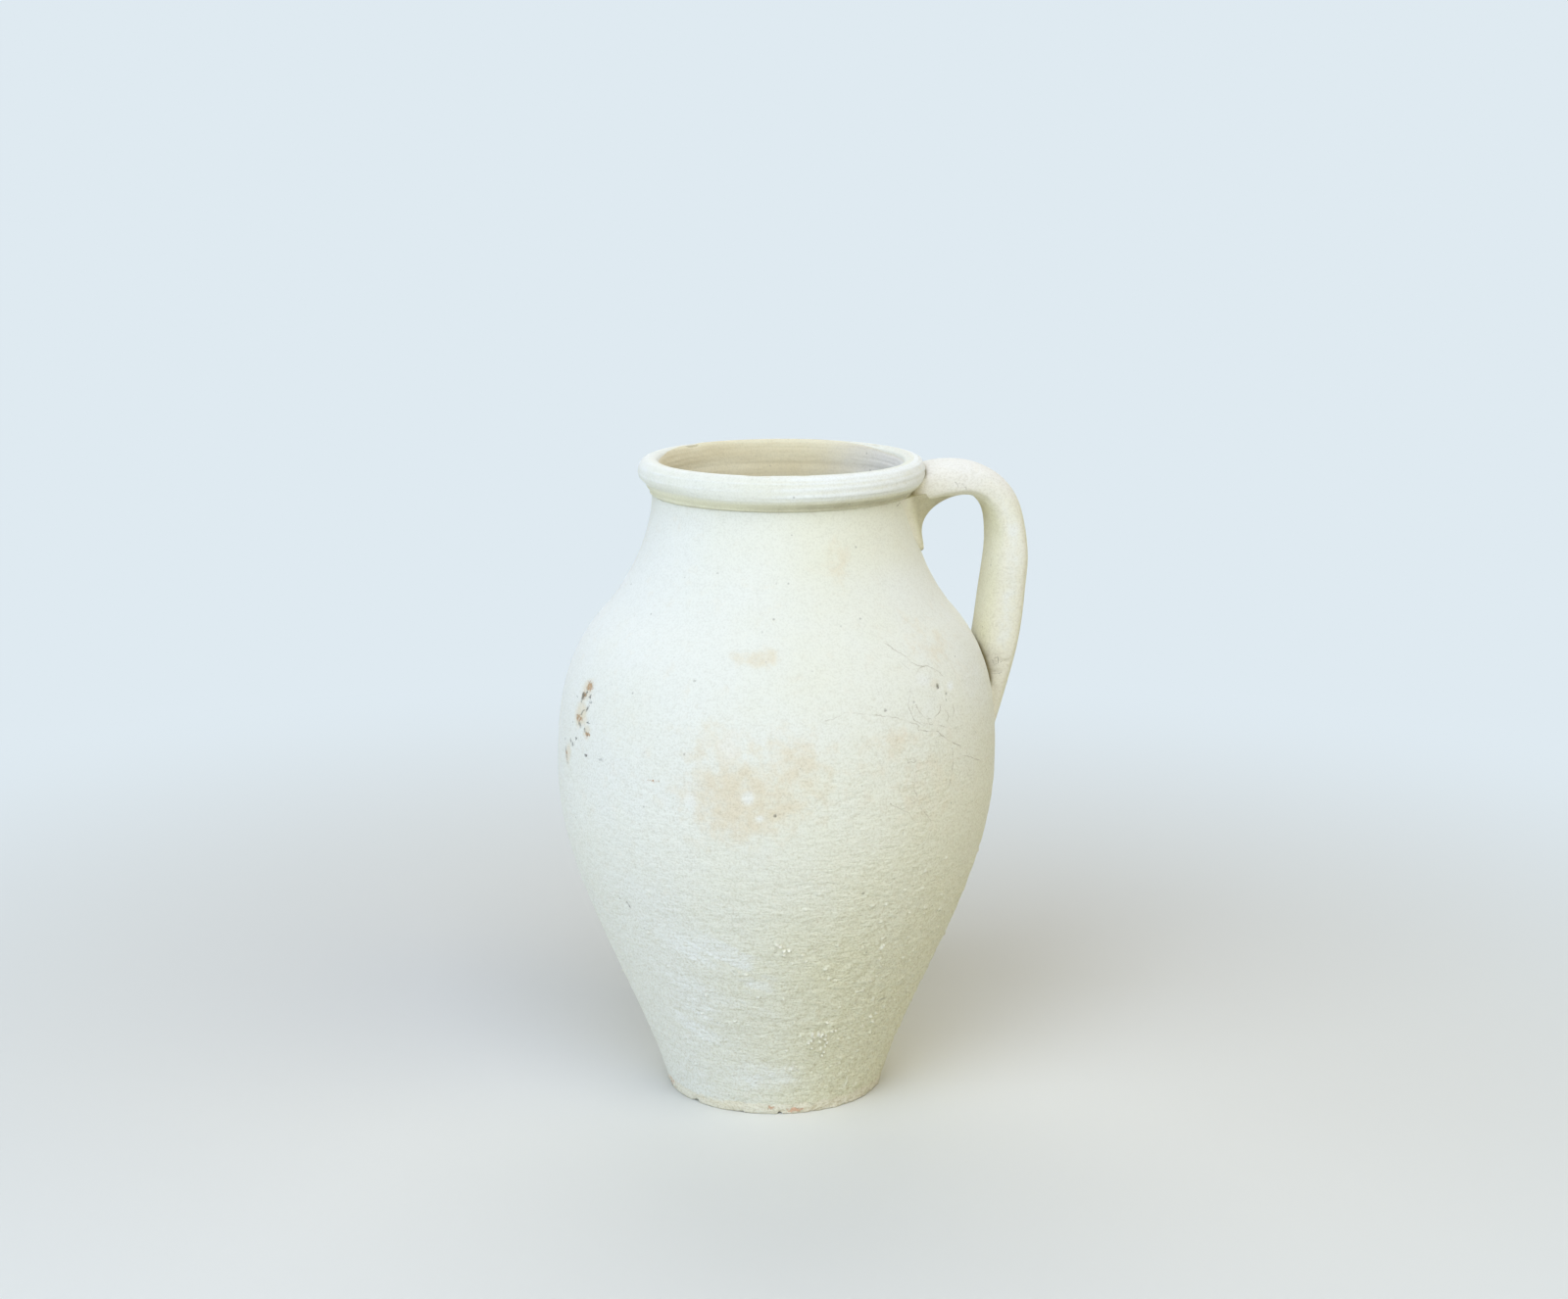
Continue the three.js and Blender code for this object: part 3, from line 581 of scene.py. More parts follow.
def slipOnClay(name, look):
    material = bpy.data.materials.new(name)
    material.use_nodes = True
    tree = material.node_tree
    surface = tree.nodes["Principled BSDF"]
    place = addNode(tree, "TexCoord", out="Object")
    # the object's own millimetres, so that a noise scale is one over a size
    coords = addNode(tree, "Mapping", {"Vector": place, "Scale": (1 / mm, 1 / mm, 1 / mm)}, "Vector")
    level, wiped = [
        addNode(tree, "Mapping", {"Vector": coords, "Scale": (draw, draw, 1)}, "Vector")
        for draw in (look["ringDraw"], look["wipeDraw"])
    ]
    mark = {
        key: addNode(tree, "Attribute", out="Fac", attribute_name=key)
        for key in ("slip", "warm", "blush", "thick", "worn", "soot", "pin", "sandy", "ash", "dirtAndShade",
                    "grit", "crack", "crackShow", "craze", "crazeShow", "scuff", "scuffShow")
    }
    # noises from 0 to 1, most of it between 0.3 and 0.7
    noise = {
        key: addNode(
            tree, "TexNoise",
            {"Vector": way, "Scale": 1 / look[key + "Size"], "Detail": detail, "Roughness": 0.6}, "Fac",
        )
        for key, way, detail in (
            ("cloud", coords, 3), ("mottle", coords, 5), ("streak", level, 4), ("flake", coords, 4),
            ("wiggle", coords, 3), ("peel", wiped, 2), ("grain", wiped, 2), ("grit", coords, 1),
        )
    }

    # a share is attribute + noise * gain, brought from 0 at the low level to its most at the high one
    share = {}
    for key, source, gain, low, high, most in (
        ("warm", "cloud", 0.8, 0.4, 1.4, 1.0), ("blush", "mottle", 1.8, 0.95, 1.95, 0.8),
        ("thick", "mottle", 1.6, 0.9, 2.0, 0.8), ("slip", "mottle", 0.8, 0.75, 1.05, 1.0),
        ("ash", "mottle", 0.4, 0.2, 1.4, 1.0), ("worn", "flake", 2.6, 1.85, 2.2, 0.85),
        ("soot", "flake", 1.6, 1.35, 1.7, 0.8), ("pin", "grain", 0.5, 0.6, 1.15, 0.75),
        ("dirtAndShade", "mottle", 0.3, 0.2, 1.05, 0.9),
    ):
        terms = {0: noise[source], 1: gain, 2: mark[key]}
        rough = addNode(tree, "Math", terms, 0, operation="MULTIPLY_ADD")
        share[key] = addNode(
            tree, "MapRange", {"Value": rough, "From Min": low, "From Max": high, "To Max": most},
            "Result", interpolation_type="LINEAR" if key == "warm" else "SMOOTHSTEP",
        )

    # a hairline is where its distance, shifted by a noise, is near nothing
    terms = {0: noise["wiggle"], 1: look["wiggle"], 2: -look["wiggle"] / 2}
    drift = addNode(tree, "Math", terms, 0, operation="MULTIPLY_ADD")
    for key in ("crack", "craze", "scuff"):
        off = addNode(tree, "Math", {0: mark[key], 1: drift}, 0, operation="ADD")
        away = addNode(tree, "Math", {0: off}, 0, operation="ABSOLUTE")
        line = addNode(
            tree, "MapRange", {"Value": away, "From Min": look[key + "Width"], "From Max": 0.05}, "Result"
        )
        gaps = noise["flake" if key == "scuff" else "mottle"]
        broken = addNode(tree, "MapRange", {"Value": gaps, "From Min": 0.64, "From Max": 0.44}, "Result")
        shown = addNode(tree, "Math", {0: line, 1: mark[key + "Show"]}, 0, operation="MULTIPLY")
        share[key] = addNode(tree, "Math", {0: shown, 1: broken}, 0, operation="MULTIPLY")

    # sparse flecks of iron in the clay
    fleck = addNode(tree, "TexVoronoi", {"Vector": coords, "Scale": 1 / look["speckGap"]}, "Distance")
    share["fleck"] = addNode(
        tree, "MapRange", {"Value": fleck, "From Min": 0.06, "From Max": 0.03, "To Max": 0.35}, "Result"
    )

    coat = tint(look["pale"])
    for key, colour in (("warm", "cream"), ("blush", "blush"), ("thick", "thick")):
        coat = addNode(tree, "Mix", {0: share[key], 6: coat, 7: tint(look[colour])}, 2, data_type="RGBA")
    band = addNode(
        tree, "MapRange", {"Value": noise["streak"], "From Min": 0.35, "From Max": 0.65}, "Result"
    )
    clay = addNode(
        tree, "Mix", {0: band, 6: tint(look["clay"]), 7: tint(look["clayDeep"])}, 2, data_type="RGBA"
    )
    clay = addNode(tree, "Mix", {0: share["ash"], 6: clay, 7: tint(look["ash"])}, 2, data_type="RGBA")
    skin = addNode(tree, "Mix", {0: share["slip"], 6: clay, 7: coat}, 2, data_type="RGBA")
    for key, colour in (
        ("worn", "worn"), ("soot", "soot"), ("pin", "pin"), ("fleck", "pin"), ("crack", "crack"),
        ("craze", "crack"), ("scuff", "scuff"), ("dirtAndShade", "dirtAndShade"),
    ):
        skin = addNode(tree, "Mix", {0: share[key], 6: skin, 7: tint(look[colour])}, 2, data_type="RGBA")
    # crumbs of grit are paler: partly a painted highlight on their tops
    skin = addNode(tree, "Mix", {0: mark["grit"], 6: skin, 7: tint(look["grit"])}, 2, data_type="RGBA")

    # sand stands out of the slip; its pits are darker and warmer
    terms = {0: noise["grain"], 1: 0.35, 2: noise["grit"]}
    sand = addNode(tree, "Math", terms, 0, operation="MULTIPLY_ADD")
    deep = addNode(tree, "MapRange", {"Value": mark["sandy"], "From Max": 1.8}, "Result")
    pit = addNode(tree, "Mix", {0: deep, 6: (1, 1, 1, 1), 7: tint(look["sandPit"])}, 2, data_type="RGBA")
    raised = addNode(tree, "MapRange", {"Value": sand, "From Min": 0.35, "From Max": 0.75}, "Result")
    shade = addNode(tree, "Mix", {0: raised, 6: pit, 7: (1.07, 1.07, 1.07, 1)}, 2, data_type="RGBA")
    skin = addNode(tree, "Mix", {0: 1.0, 6: skin, 7: shade}, 2, data_type="RGBA", blend_type="MULTIPLY")

    # relief in millimetres
    rise = addNode(tree, "Math", {0: noise["grit"], 1: look["gritDepth"]}, 0, operation="MULTIPLY")
    for key, size in (("grain", "grainDepth"), ("peel", "peelDepth")):
        sandy = addNode(tree, "Math", {0: noise[key], 1: mark["sandy"]}, 0, operation="MULTIPLY")
        rise = addNode(tree, "Math", {0: sandy, 1: look[size], 2: rise}, 0, operation="MULTIPLY_ADD")
    for key, size in (("crack", "crackDepth"), ("craze", "crackDepth"), ("worn", "flakeDepth")):
        rise = addNode(tree, "Math", {0: share[key], 1: -look[size], 2: rise}, 0, operation="MULTIPLY_ADD")
    bump = addNode(tree, "Bump", {"Height": rise, "Strength": 1.0, "Distance": mm}, "Normal")
    tree.links.new(skin, surface.inputs["Base Color"])
    tree.links.new(bump, surface.inputs["Normal"])
    surface.inputs["Roughness"].default_value = look["roughness"]
    surface.inputs["Diffuse Roughness"].default_value = look["diffuseRoughness"]
    surface.inputs["Specular IOR Level"].default_value = look["specular"]
    return material


slipWall = slipOnClay("slipCoatedEarthenware", slipFinish)
# the same slip, thinner and rubbed by hands
slipHandle = slipOnClay("slipCoatedStrap", {
    **slipFinish, "pale": "eeebe2", "cream": "e8e4c6", "crack": "776c4f",
})
# no slip: dry buff clay, redder where it is chipped
bareClay = slipOnClay("bareEarthenware", {
    **slipFinish, "clay": "ebe8d8", "clayDeep": "e5dec6", "worn": "dfb493",
})
print("materials made")


# Floor disc: under face, rounded foot edge, seam under the wall, floor inside
footDisc = {
    "underStep": 4.0, "edgeStep": 0.6, "floorStep": 3.0, "rings": 0.25, "ringCell": (2, 7.0),
    "ringFade": 6.0, "chipDepth": 1.3, "chipCell": (110, 10.0), "chipFrom": (0.3, 0.9),
    "chipFade": (-4.5, -0.3), "slip": 0.5, "slipFade": (-1.0, 7.0),
}
# bare scars on its edge, as the patches of the wall
footScars = [
    (-103, 4, 3.4, 1.8, 0.81), (-91, 2.5, 6, 1.8, 0.9), (-172, 4.5, 8, 4, 0.72),
    (70, 3, 9, 2, 0.72),
]
footArc = [
    (vessel["footRadius"] - vessel["footRound"], 0),
    (vessel["footRadius"], 0),
    (vessel["footRadius"], vessel["footRound"]),
]
floorEdge = (vessel["innerFootRadius"], vessel["floorTop"])
underLine = evenly(np.array([(0, 0), footArc[0]], float), footDisc["underStep"])
edgeLine = np.concatenate([bezier(footArc, 12), np.array([vessel["foot"]], float)])
edgeLine = evenly(edgeLine, footDisc["edgeStep"])
floorLine = evenly(np.array([floorEdge, (0, vessel["floorTop"])], float), footDisc["floorStep"])


def footEdge():
    # rounded edge of the disc, chipped where it is set down
    radius, height = edgeLine[:, 0, None], edgeLine[:, 1, None]
    run = outerRun[0] + runOf(edgeLine)[:, None] - runOf(edgeLine)[-1]
    depth = outerRelief(turns, run, height, radius)
    chips = ease(clayNoise(turns, 0 * turns, *footDisc["chipCell"], 12), *footDisc["chipFrom"])
    chips = chips * ease(-height, *footDisc["chipFade"])
    return carry(edgeLine, outwardOf(edgeLine), depth - footDisc["chipDepth"] * chips)


floorRun = runOf(floorLine)[:, None]
floorRings = footDisc["rings"] * clayNoise(turns, floorRun, *footDisc["ringCell"], 13)
floorRings = floorRings * ease(floorRun, 0, footDisc["ringFade"])
floorRings = floorRings * ease(vessel["innerFootRadius"] - floorRun, 0, footDisc["ringFade"])
floorPoints = np.concatenate([
    carry(underLine[:-1], outwardOf(underLine)[:-1], 0 * turns),
    footEdge(),
    carry(floorLine, outwardOf(floorLine), floorRings),
])
floorPoints[[0, -1], :, :2] = 0
floorPoints[..., 2] = np.maximum(floorPoints[..., 2], 0)
seamRow = len(underLine) + len(edgeLine) - 2
floorFinish = wallFinish(floorPoints, 0 * floorPoints[..., 2])
footTurn = np.arctan2(floorPoints[..., 1], floorPoints[..., 0])
floorFinish["ash"] = 0
floorFinish["slip"] = footDisc["slip"] * ease(floorPoints[..., 2], *footDisc["slipFade"])
floorFinish["slip"][seamRow + 1:] = 0
floorFinish["worn"] = spots(footScars, footTurn, floorPoints[..., 2], vessel["footRadius"])
addPiece(
    "pitcher_floor", floorPoints, False, [seamRow, seamRow + 1], floorFinish, bareClay,
    "floor_disc",
)


# Thrown walls: each is its outer skin up and its inner skin down, closed at the seams
wallSlipAndShade = {"footFade": (-2.0, 13.0), "underRim": 1.4, "underRimShare": 0.15}


def addWall(name, first, last, innerStep, node):
    grit = gritOn(outerLine[first:last + 1])
    outer = outerSkin(first, last, grit)
    inner = innerSkin(first, last, innerStep)
    if first == 0:
        inner[-1, :, 2] = vessel["floorTop"]
    points = np.concatenate([outer, inner])
    height = points[..., 2]
    slip = ease(height, *wallSlipAndShade["footFade"])
    slip[len(outer):] = 0
    # painted shade: a thin dark band on the wall under the rim's overhang
    dirtAndShade = wallSlipAndShade["underRimShare"] * bell(height, vessel["neck"][1], wallSlipAndShade["underRim"])
    dirtAndShade[len(outer):] = 0
    finish = wallFinish(points, slip, dirtAndShade)
    finish["grit"] = np.concatenate([gritSpread["show"] * np.clip(grit, 0, 1) ** 2, 0 * inner[..., 2]])
    edges = [0, len(outer) - 1, len(outer), len(points) - 1]
    addPiece(name, points, True, edges, finish, slipWall, node)


addWall("pitcher_lower_body", 0, bellyRow, vessel["innerStep"], "lower_body")
addWall("pitcher_shoulder", bellyRow, shoulderRow, vessel["innerStep"], "shoulder")
addWall("pitcher_neck", shoulderRow, neckRow, vessel["throatStep"], "neck")


# Rolled rim: fine lines of the wiping finger, chips on the lip, and painted shade in the groove and on the
# bevel under the roll
lipChips = [  # azimuth, run from the crest towards the inside, half width, half length, depth
    (125, 1.6, 4.6, 2, 2.3), (-112.3, 0.5, 4.6, 1.5, 1.3), (-107, 0.2, 1.6, 1.5, 0.8),
    (-91.5, 0.8, 2.6, 1, 0.9), (30, 1, 4, 1.4, 0.9),
]
rimRun = runOf(rimLine)[:, None]
crestRun, rimEnd = rimRun[crestRow], rimRun[-1]
chips = 0
for azimuth, away, wide, tall, depth in lipChips:
    side = (offset(turns, azimuth) * vessel["neck"][0] / wide) ** 4
    chips = chips + depth * np.exp(-side - ((rimRun - crestRun - away) / tall) ** 2)
chipped = np.clip(chips, 0, 1)
# the side where the finger lines are strongest, which is also painted lighter
toWipedAndLit = np.cos(turns + rim["wipedAndLitSide"])
wiped = clayNoise(turns, rimRun, *rim["lineCell"], 21)
wiped = wiped * blend(rim["linesLeast"], 1, ease(toWipedAndLit, *rim["linesFrom"]))
rimDepth = rim["lines"] * wiped + rim["wobble"] * clayNoise(turns, rimRun, *rim["wobbleCell"], 22) - chips
# the bevel under the roll is pressed flatter on the side away from the handle
pressed = rim["pressed"] * bell(rimRun, rim["pressedAt"], rim["pressedHalf"])
rimDepth = rimDepth - pressed * ease(-np.cos(turns), *rim["pressedFrom"])
rimDepth = rimDepth * ease(rimRun, 0, rim["endFade"]) * ease(-rimRun, -rimEnd, -rimEnd + rim["endFade"])
rimBase = outerRelief(turns, outerRun[-1], vessel["neck"][1], vessel["neck"][0])
rimDepth = rimDepth + rimBase * ease(-rimRun, -rim["neckBlend"], 0)
rimPoints = carry(rimLine, outwardOf(rimLine), rimDepth)
# the slip runs further over the lip at the sides, and stops at the crest at the back
slipEnd = rim["slipEnd"] + rim["slipSides"] * np.cos(turns) ** 2
slipEnd = slipEnd - rim["slipBack"] * ease(np.sin(turns), *rim["backFrom"])
rimSlip = 1 - ease(rimRun - crestRun, slipEnd, slipEnd + rim["slipFade"]) - rim["chipBare"] * chipped
# painted shade: a faint dark line in the groove and a darker band on the bevel that thins out at the
# handle; dirt in the chips
rimDirtAndShade = rim["grooveShade"] * (1 - ease(rimRun, *rim["grooveFade"])) + rim["chipDirt"] * chipped
bevelShade = 1 - rim["bevelShadeLost"] * ease(np.cos(turns), *rim["bevelShadeGap"])
bevelShade = ease(np.cos(turns + nearSide), *rim["bevelShadeFrom"]) * bevelShade
rimDirtAndShade = rimDirtAndShade + rim["bevelShade"] * bell(rimRun, rim["bevelShadeAt"], rim["bevelShadeHalf"]) * bevelShade
rimFinish = wallFinish(rimPoints, np.clip(rimSlip, 0, 1), rimDirtAndShade)
# the roll's underside is warmer and darker: painted shade
under = 1 - ease(rimRun, *rim["underFade"])
rimFinish["warm"] = rim["wallWarm"] * rimFinish["warm"] + rim["warm"] + rim["underWarm"] * under
# the roll's outer face is paler where the slip is thick and along the finger lines, and paler still near
# the handle as a painted highlight
thick = rim["thick"] + rim["litSideHighlight"] * ease(toWipedAndLit, *rim["litSideFrom"]) + rim["lineThick"] * wiped
rimFinish["thick"] = thick * ease(rimRun, *rim["thickFrom"]) * (rimRun < crestRun)
addPiece(
    "pitcher_rim", rimPoints, True, [0, len(rimLine) - 1], rimFinish, slipWall, "rolled_rim",
)


# Handle: a pulled strap along a line in the plane of the handle, thick and wide by its share of the length
strap = {
    "line": [
        [(67.0, 332.0), (81.75, 334.5), (81.75, 337.0), (96.5, 337.0)],
        [(96.5, 337.0), (114.7, 337.0), (125.8, 321.8), (125.8, 297.0)],
        [(125.8, 297.0), (125.8, 260.9), (117.5, 214.9), (114.0, 187.5)],
    ],
    "thickness": [18, 17.8, 17.4, 21.4, 22.8, 18, 12.8],
    "width": [41, 38, 36.5, 36, 35, 39, 48],
    "roundness": 3.1, "tipRoundness": 1.3, "splitHeight": 238.0, "skew": (-3.0, 3.0), "tipDepth": 0.6,
    "tipFrom": 6.0, "tipRound": 24.0, "tipWidth": 0.3, "tipReach": 0.55, "step": 0.8, "columns": 132,
    "lumps": 0.4, "lumpCell": (5, 17.0), "pulls": 0.2, "pullCell": (22, 26.0), "creaseBow": 9.0,
    "seamGroove": 1.1, "seamWidth": 1.7, "seamRun": 30.0,
}
# scratches on its near side: strength and points of x and height
strapScratches = [
    (0.9, [(117.8, 238.6), (119.3, 238.3), (120.1, 236.2), (119.2, 234.6)]),
    (0.9, [(121.6, 236.4), (121.9, 235.3)]), (0.45, [(116.3, 237.8), (116.9, 235.6), (118.1, 234)]),
    (0.35, [(115.4, 229.9), (119, 229.4), (122.7, 229.6)]),
    (0.4, [(89.9, 337.8), (91.6, 335.6), (92.7, 333.4)]),
    (0.35, [(93.7, 336.6), (95.9, 334.4), (97.7, 332.2)]),
]
# thumbed creases on the strap: height, angle round the section, half height, half angle and depth
thumbCreases = [(236.6, 1.4, 0.9, 0.22, 0.8), (230.5, 1.6, 0.8, 0.34, 0.5), (240.0, 1.75, 0.7, 0.12, 0.5)]

strapLine = evenly(np.concatenate([bezier(points, 200) for points in strap["line"]]), strap["step"])
strapRun = runOf(strapLine)
splitRow = len(strapLine) - 1 - int(np.argmax(strapLine[::-1, 1] > strap["splitHeight"]))
around = np.linspace(0, 2 * np.pi, strap["columns"], endpoint=False)[None, :]


def creases(height):
    # how deep the thumb pressed at a height, round the section: bowed dents that fade at both ends
    total = 0
    for up, turn, tall, wide, depth in thumbCreases:
        bow = strap["creaseBow"] * (around - turn) ** 2
        total = total + depth * np.exp(-((height - up - bow) / tall) ** 2 - ((around - turn) / wide) ** 4)
    return total


def strapSkin(first, last):
    # superellipse sections square to the strap's line, lumpy and pulled lengthwise; towards the tip the
    # section thins onto the wall and bends round it, and the tip is smeared to a round end
    share = (strapRun / strapRun[-1])[first:last + 1, None]
    run = strapRun[first:last + 1, None]
    middle = strapLine[first:last + 1, None, :]
    tangent = np.gradient(strapLine, axis=0)[first:last + 1]
    tangent /= np.linalg.norm(tangent, axis=1)[:, None]
    toTip = ease(run, strapRun[splitRow] - strap["tipFrom"], strapRun[-1])
    power = 2 / blend(strap["roundness"], strap["tipRoundness"], toTip)
    rough = strap["lumps"] * clayNoise(around, run, *strap["lumpCell"], 31)
    rough = rough + strap["pulls"] * clayNoise(around, run, *strap["pullCell"], 32)
    rough = rough - creases(middle[..., 1])
    thick = along(strap["thickness"], share) / 2 + rough * (1 - toTip)
    smear = rounded(strapRun[-1] - run, strap["tipRound"])
    wide = (along(strap["width"], share) / 2 + rough) * blend(strap["tipWidth"], 1, smear)
    wall = radiusAt(middle[..., 1])
    shift = toTip * (wall - strap["tipDepth"] - middle[..., 0])
    outer = (thick - shift) * blend(strap["tipReach"], 1, smear)
    reach = np.where(np.cos(around) > 0, outer, thick + shift)
    out = shift + reach * np.sign(np.cos(around)) * np.abs(np.cos(around)) ** power
    side = -wide * np.sign(np.sin(around)) * np.abs(np.sin(around)) ** power
    bend = toTip * (wall - np.sqrt(wall ** 2 - side ** 2))
    side = side + blend(*strap["skew"], ease(share, 0, 1))
    x = middle[..., 0] - tangent[:, 1, None] * out - bend
    z = middle[..., 1] + tangent[:, 0, None] * out
    points = np.stack([x, side, z], -1)
    # groove where the strap butts against the rim
    clear = np.hypot(x, side) - radiusAt(z)
    groove = strap["seamGroove"] * bell(clear, 0, strap["seamWidth"]) * (run < strap["seamRun"])
    centre = points.mean(1, keepdims=True)
    arm = points - centre
    return centre + arm * (1 - groove / np.linalg.norm(arm, axis=-1))[..., None]


def capped(points):
    # both ends closed by a row drawn to one point
    first = np.broadcast_to(points[:1].mean(1, keepdims=True), points[:1].shape)
    last = np.broadcast_to(points[-1:].mean(1, keepdims=True), points[-1:].shape)
    return np.concatenate([first, points, last])


# Tone of the handle: shares, and the heights, or cosines round it, between which each comes or fades
handleTone = {
    "padTop": (219.0, 228.0), "crookTop": (258.0, 272.0), "rimSeam": (337.0, 341.0),
    "crookDirtAndShade": 0.32, "crookReach": 5.0, "strapSeam": (1.5, 0.75), "creaseShade": 0.25, "sand": 0.5,
    "warm": 0.5, "topPale": 0.45, "topFrom": (318.0, 342.0),
    "innerWarm": 0.4, "innerFrom": (0.2, 0.9), "nearHalf": 0.3,
    "outerWarm": 0.3, "outerFrom": (0.25, 0.9), "outerFade": (310.0, 335.0),
    "thick": 0.6, "thickFrom": (236.0, 250.0), "thickFade": (322.0, 334.0),
    "bendShade": 0.13, "bendFrom": (296.0, 312.0), "bendFade": (322.0, 332.0),
    "gripDirt": 0.16, "gripHeight": 236.0, "gripHalf": 11.0, "gripFrom": (0.0, 0.8),
}


def handleFinish(points, dirtAndShadeReach, dirtAndShadeShare):
    # slip on the handle, with dirt and painted shade where it stands close to the wall or the rim, above
    # the pad
    tone, height = handleTone, points[..., 2]
    clear = np.hypot(points[..., 0], points[..., 1]) - radiusAt(height)
    crook = ease(height, *tone["padTop"]) * (1 - ease(height, *tone["crookTop"]))
    dirtAndShade = dirtAndShadeShare * bell(clear, 0, dirtAndShadeReach) * (crook + ease(height, *tone["rimSeam"]))
    # a wider darkening in the crook near the wall: dirt and painted shade
    dirtAndShade += tone["crookDirtAndShade"] * bell(clear, 0, tone["crookReach"]) * crook
    # the handle is paler towards its top: a painted highlight where the light falls from above
    warm = tone["warm"] - tone["topPale"] * ease(height, *tone["topFrom"])
    return {"slip": 1, "warm": warm, "sandy": tone["sand"], "dirtAndShade": dirtAndShade}


def addStrap(name, first, last, node):
    tone = handleTone
    points = capped(strapSkin(first, last))
    height = points[..., 2]
    out = np.cos(around)
    inner, outer = ease(-out, *tone["innerFrom"]), ease(out, *tone["outerFrom"])
    near = bell(out, 0, tone["nearHalf"]) * (np.sin(around) > 0)
    finish = handleFinish(points, *tone["strapSeam"])
    finish["craze"], show = hairlines(strapScratches, np.radians(points[..., 0]), height, math.degrees(1))
    finish["crazeShow"] = show * (points[..., 1] < 0)
    # the inner face, and the outer face below the bend, are warmer: painted shade on the faces turned from
    # the light
    finish["warm"] += tone["innerWarm"] * inner
    finish["warm"] += tone["outerWarm"] * outer * (1 - ease(height, *tone["outerFade"]))
    # the middle of the near face is whiter, drawn with the thick slip's share: a painted highlight
    thick = tone["thick"] * near * ease(height, *tone["thickFrom"])
    finish["thick"] = thick * (1 - ease(height, *tone["thickFade"]))
    # painted shade in the thumb creases and on the inner face under the bend
    finish["dirtAndShade"] += tone["creaseShade"] * creases(height.mean(1, keepdims=True))
    bend = tone["bendShade"] * inner * ease(height, *tone["bendFrom"])
    finish["dirtAndShade"] += bend * (1 - ease(height, *tone["bendFade"]))
    # hands left it darker above the pad
    grip = ease(np.sin(around), *tone["gripFrom"])
    finish["dirtAndShade"] += tone["gripDirt"] * grip * bell(height, tone["gripHeight"], tone["gripHalf"])
    addPiece(name, points, False, [1, len(points) - 2], finish, slipHandle, node)


addStrap("handle_strap_clay", 0, splitRow, "handle_strap")
addStrap("handle_foot_clay", splitRow, len(strapLine) - 1, "handle_foot")


# Root: clay spread over the neck under the strap, a web that sweeps out into the strap and a tongue below
root = {
    "top": 331.0, "tongueEnd": 298.0, "endRound": 15.0, "endShare": 0.3, "lip": 1.3, "squareness": 0.5,
    "wingHalf": 42.0, "tongueHalf": 27.0, "wingThick": 5.9, "tongueThick": 3.1,
    "webStart": 306.0, "webTop": 328.5, "webReach": 30.0, "webHalf": 18.0, "bury": 2.0,
    "webSquareness": 6, "topSquareness": 1.1, "squareFrom": (0.15, 0.6), "rows": 90, "columns": 160,
    "seam": (0.7, 0.35), "endShade": 1.1, "endShadeFade": (0.2, 2.2), "outFrom": (0.3, 4.5), "outShade": 0.42,
    "warm": 0.1, "outWarm": 0.5,
}


def rootSkin():
    # level sections: the neck's circle plus a low wing across it and a web that swells as it climbs
    height = np.linspace(root["tongueEnd"], root["top"], root["rows"])[:, None]
    across = np.cos(np.linspace(np.pi, 0, root["columns"] // 2))[None, :]
    above = height - root["tongueEnd"]
    spread = above / (root["top"] - root["tongueEnd"])
    half = blend(root["tongueHalf"], root["wingHalf"], spread ** 2)
    half = half * blend(root["endShare"], 1, rounded(above, root["endRound"]))
    wing = blend(root["tongueThick"], root["wingThick"], 1 - (1 - spread) ** 2)
    wing = wing * rounded(above, root["lip"])
    climb = np.clip((height - root["webStart"]) / (root["webTop"] - root["webStart"]), 0, 1)
    web = root["webReach"] * (1 - np.sqrt(1 - climb ** 2))
    y = across * half
    onNeck = np.sqrt(radiusAt(height) ** 2 - y ** 2)
    hump = 1 / (1 + np.abs(y / root["webHalf"]) ** root["webSquareness"])
    edge = blend(root["squareness"], root["topSquareness"], ease(spread, *root["squareFrom"]))
    rise = wing * (1 - across ** 2) ** edge + web * hump
    level = height + 0 * y
    front = np.stack([onNeck + rise, y, level], -1)
    back = np.stack([onNeck - root["bury"], y, level], -1)
    return np.concatenate([front, back[:, ::-1]], 1)


rootPoints = capped(rootSkin())
rootFinish = handleFinish(rootPoints, *root["seam"])
aboveTongue = rootPoints[..., 2] - root["tongueEnd"]
aboveNeck = np.hypot(rootPoints[..., 0], rootPoints[..., 1]) - radiusAt(rootPoints[..., 2])
standsOut = ease(aboveNeck, *root["outFrom"])
# painted shade under the tongue's lip, and on the web where it stands out from the neck, which is warmer
# there too
rootFinish["dirtAndShade"] += root["endShade"] * (1 - ease(aboveTongue, *root["endShadeFade"]))
rootFinish["dirtAndShade"] += root["outShade"] * standsOut
rootFinish["warm"] += root["warm"] + root["outWarm"] * standsOut
addPiece(
    "handle_root_clay", rootPoints, False, [1, len(rootPoints) - 2], rootFinish, slipHandle,
    "handle_root",
)


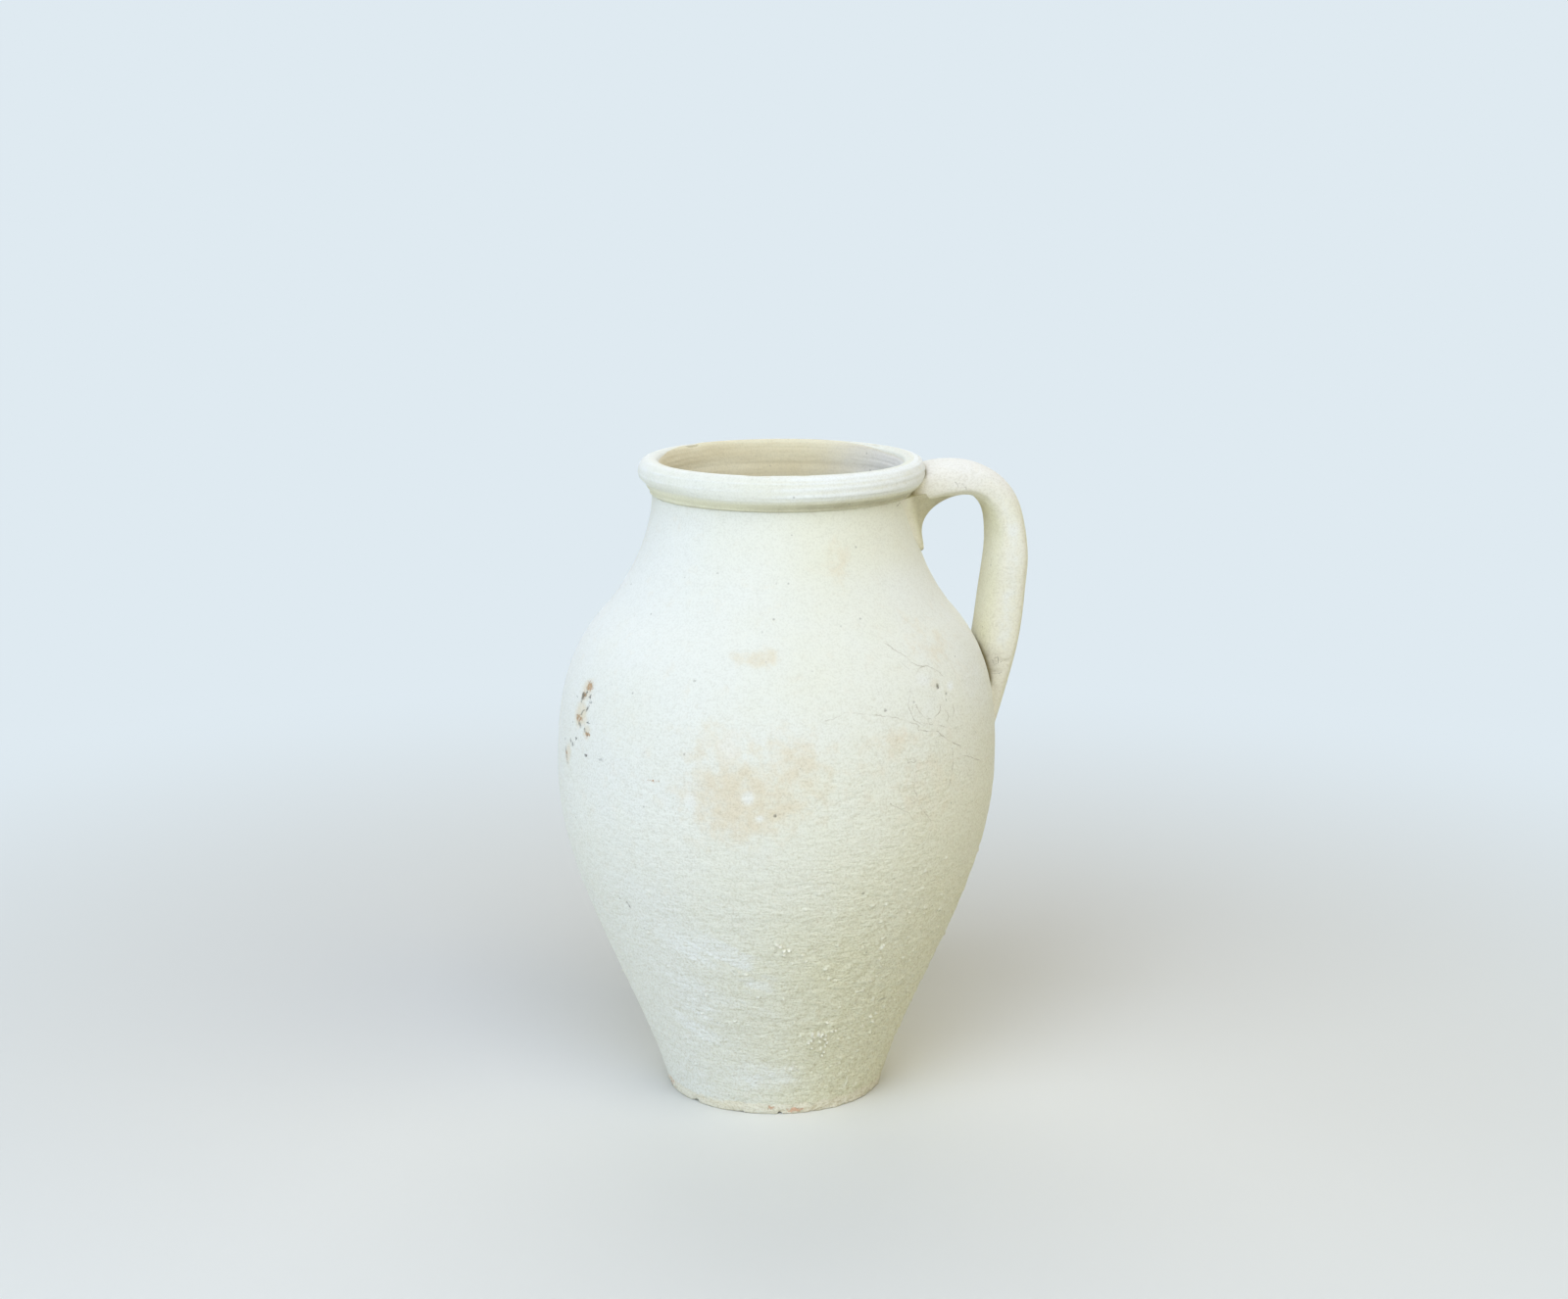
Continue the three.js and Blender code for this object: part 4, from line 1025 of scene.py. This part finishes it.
# Studio: pale floor that fades into the pale background, a wide window light above the camera, one from
# the left, weaker ones from the right and from behind and a faint fill from all round
studio = {
    "floorColour": "ebebe4", "floorRoughness": 0.9, "floorSpecular": 0.1, "floorHalf": 14.0,
    "background": "dfeaf1", "fadeFrom": 0.2, "fadeTo": 1.0, "fillColour": "fafeed", "fillStrength": 0.17,
    "lightSize": 1.8, "lightDistance": 2.4,
}
softLights = [
    {"name": "windowLight", "colour": "d9e1ff", "power": 34.2, "azimuth": -105.0, "elevation": 50.0},
    {"name": "leftLight", "colour": "dcedff", "power": 25.0, "azimuth": -135.0, "elevation": 28.0},
    {"name": "rightLight", "colour": "fdf0c2", "power": 13.4, "azimuth": -50.0, "elevation": 40.0},
    {"name": "backLight", "colour": "fbf8fa", "power": 17.0, "azimuth": 80.0, "elevation": 45.0},
]


def seenRays(tree):
    # rays that show the background itself: from the camera, in a gloss or through glass
    rays = addNode(tree, "LightPath")
    direct = rays.outputs["Is Camera Ray"]
    for kind in ("Is Glossy Ray", "Is Transmission Ray"):
        direct = addNode(tree, "Math", {0: direct, 1: rays.outputs[kind]}, 0, operation="MAXIMUM")
    return direct


def addFloor():
    half = studio["floorHalf"]
    mesh = bpy.data.meshes.new("studioFloor")
    corners = [(-half, -half, 0), (half, -half, 0), (half, half, 0), (-half, half, 0)]
    mesh.from_pydata(corners, [], [(0, 1, 2, 3)])
    floor = bpy.data.objects.new("studioFloor", mesh)
    bpy.context.scene.collection.objects.link(floor)
    material = bpy.data.materials.new("paleFloor")
    material.use_nodes = True
    tree = material.node_tree
    surface = tree.nodes["Principled BSDF"]
    surface.inputs["Base Color"].default_value = tint(studio["floorColour"])
    surface.inputs["Roughness"].default_value = studio["floorRoughness"]
    surface.inputs["Specular IOR Level"].default_value = studio["floorSpecular"]
    place = addNode(tree, "TexCoord", out="Object")
    away = addNode(tree, "VectorMath", {0: place}, "Value", operation="LENGTH")
    far = addNode(
        tree, "MapRange",
        {"Value": away, "From Min": studio["fadeFrom"], "From Max": studio["fadeTo"]}, "Result",
        interpolation_type="SMOOTHSTEP",
    )
    factor = addNode(tree, "Math", {0: far, 1: seenRays(tree)}, 0, operation="MULTIPLY")
    glow = addNode(tree, "Emission", {"Color": tint(studio["background"]), "Strength": 1.0}, 0)
    mixed = addNode(tree, "MixShader", {0: factor, 1: surface.outputs[0], 2: glow}, 0)
    tree.links.new(mixed, tree.nodes["Material Output"].inputs["Surface"])
    mesh.materials.append(material)


def addLight():
    world = bpy.data.worlds.new("paleStudio")
    bpy.context.scene.world = world
    world.use_nodes = True
    tree = world.node_tree
    fill = tree.nodes["Background"]
    fill.inputs["Color"].default_value = tint(studio["fillColour"])
    fill.inputs["Strength"].default_value = studio["fillStrength"]
    pale = addNode(tree, "Background", {"Color": tint(studio["background"]), "Strength": 1.0}, 0)
    mixed = addNode(tree, "MixShader", {0: seenRays(tree), 1: fill.outputs[0], 2: pale}, 0)
    tree.links.new(mixed, tree.nodes["World Output"].inputs["Surface"])
    for lamp in softLights:
        light = bpy.data.objects.new(lamp["name"], bpy.data.lights.new(lamp["name"], "AREA"))
        light.data.energy = lamp["power"]
        light.data.size = studio["lightSize"]
        light.data.color = tint(lamp["colour"])[:3]
        azimuth, elevation = math.radians(lamp["azimuth"]), math.radians(lamp["elevation"])
        reach = studio["lightDistance"] * math.cos(elevation)
        up = drawing["height"] * mm / 2 + studio["lightDistance"] * math.sin(elevation)
        spot = (reach * math.cos(azimuth), reach * math.sin(azimuth), up)
        swing = Matrix.Rotation(azimuth + math.pi / 2, 4, "Z")
        dip = Matrix.Rotation(math.pi / 2 - elevation, 4, "X")
        light.matrix_world = Matrix.Translation(spot) @ (swing @ dip)
        bpy.context.scene.collection.objects.link(light)


addFloor()
addLight()
bpy.context.scene.view_settings.view_transform = "Standard"
print("studio lit")
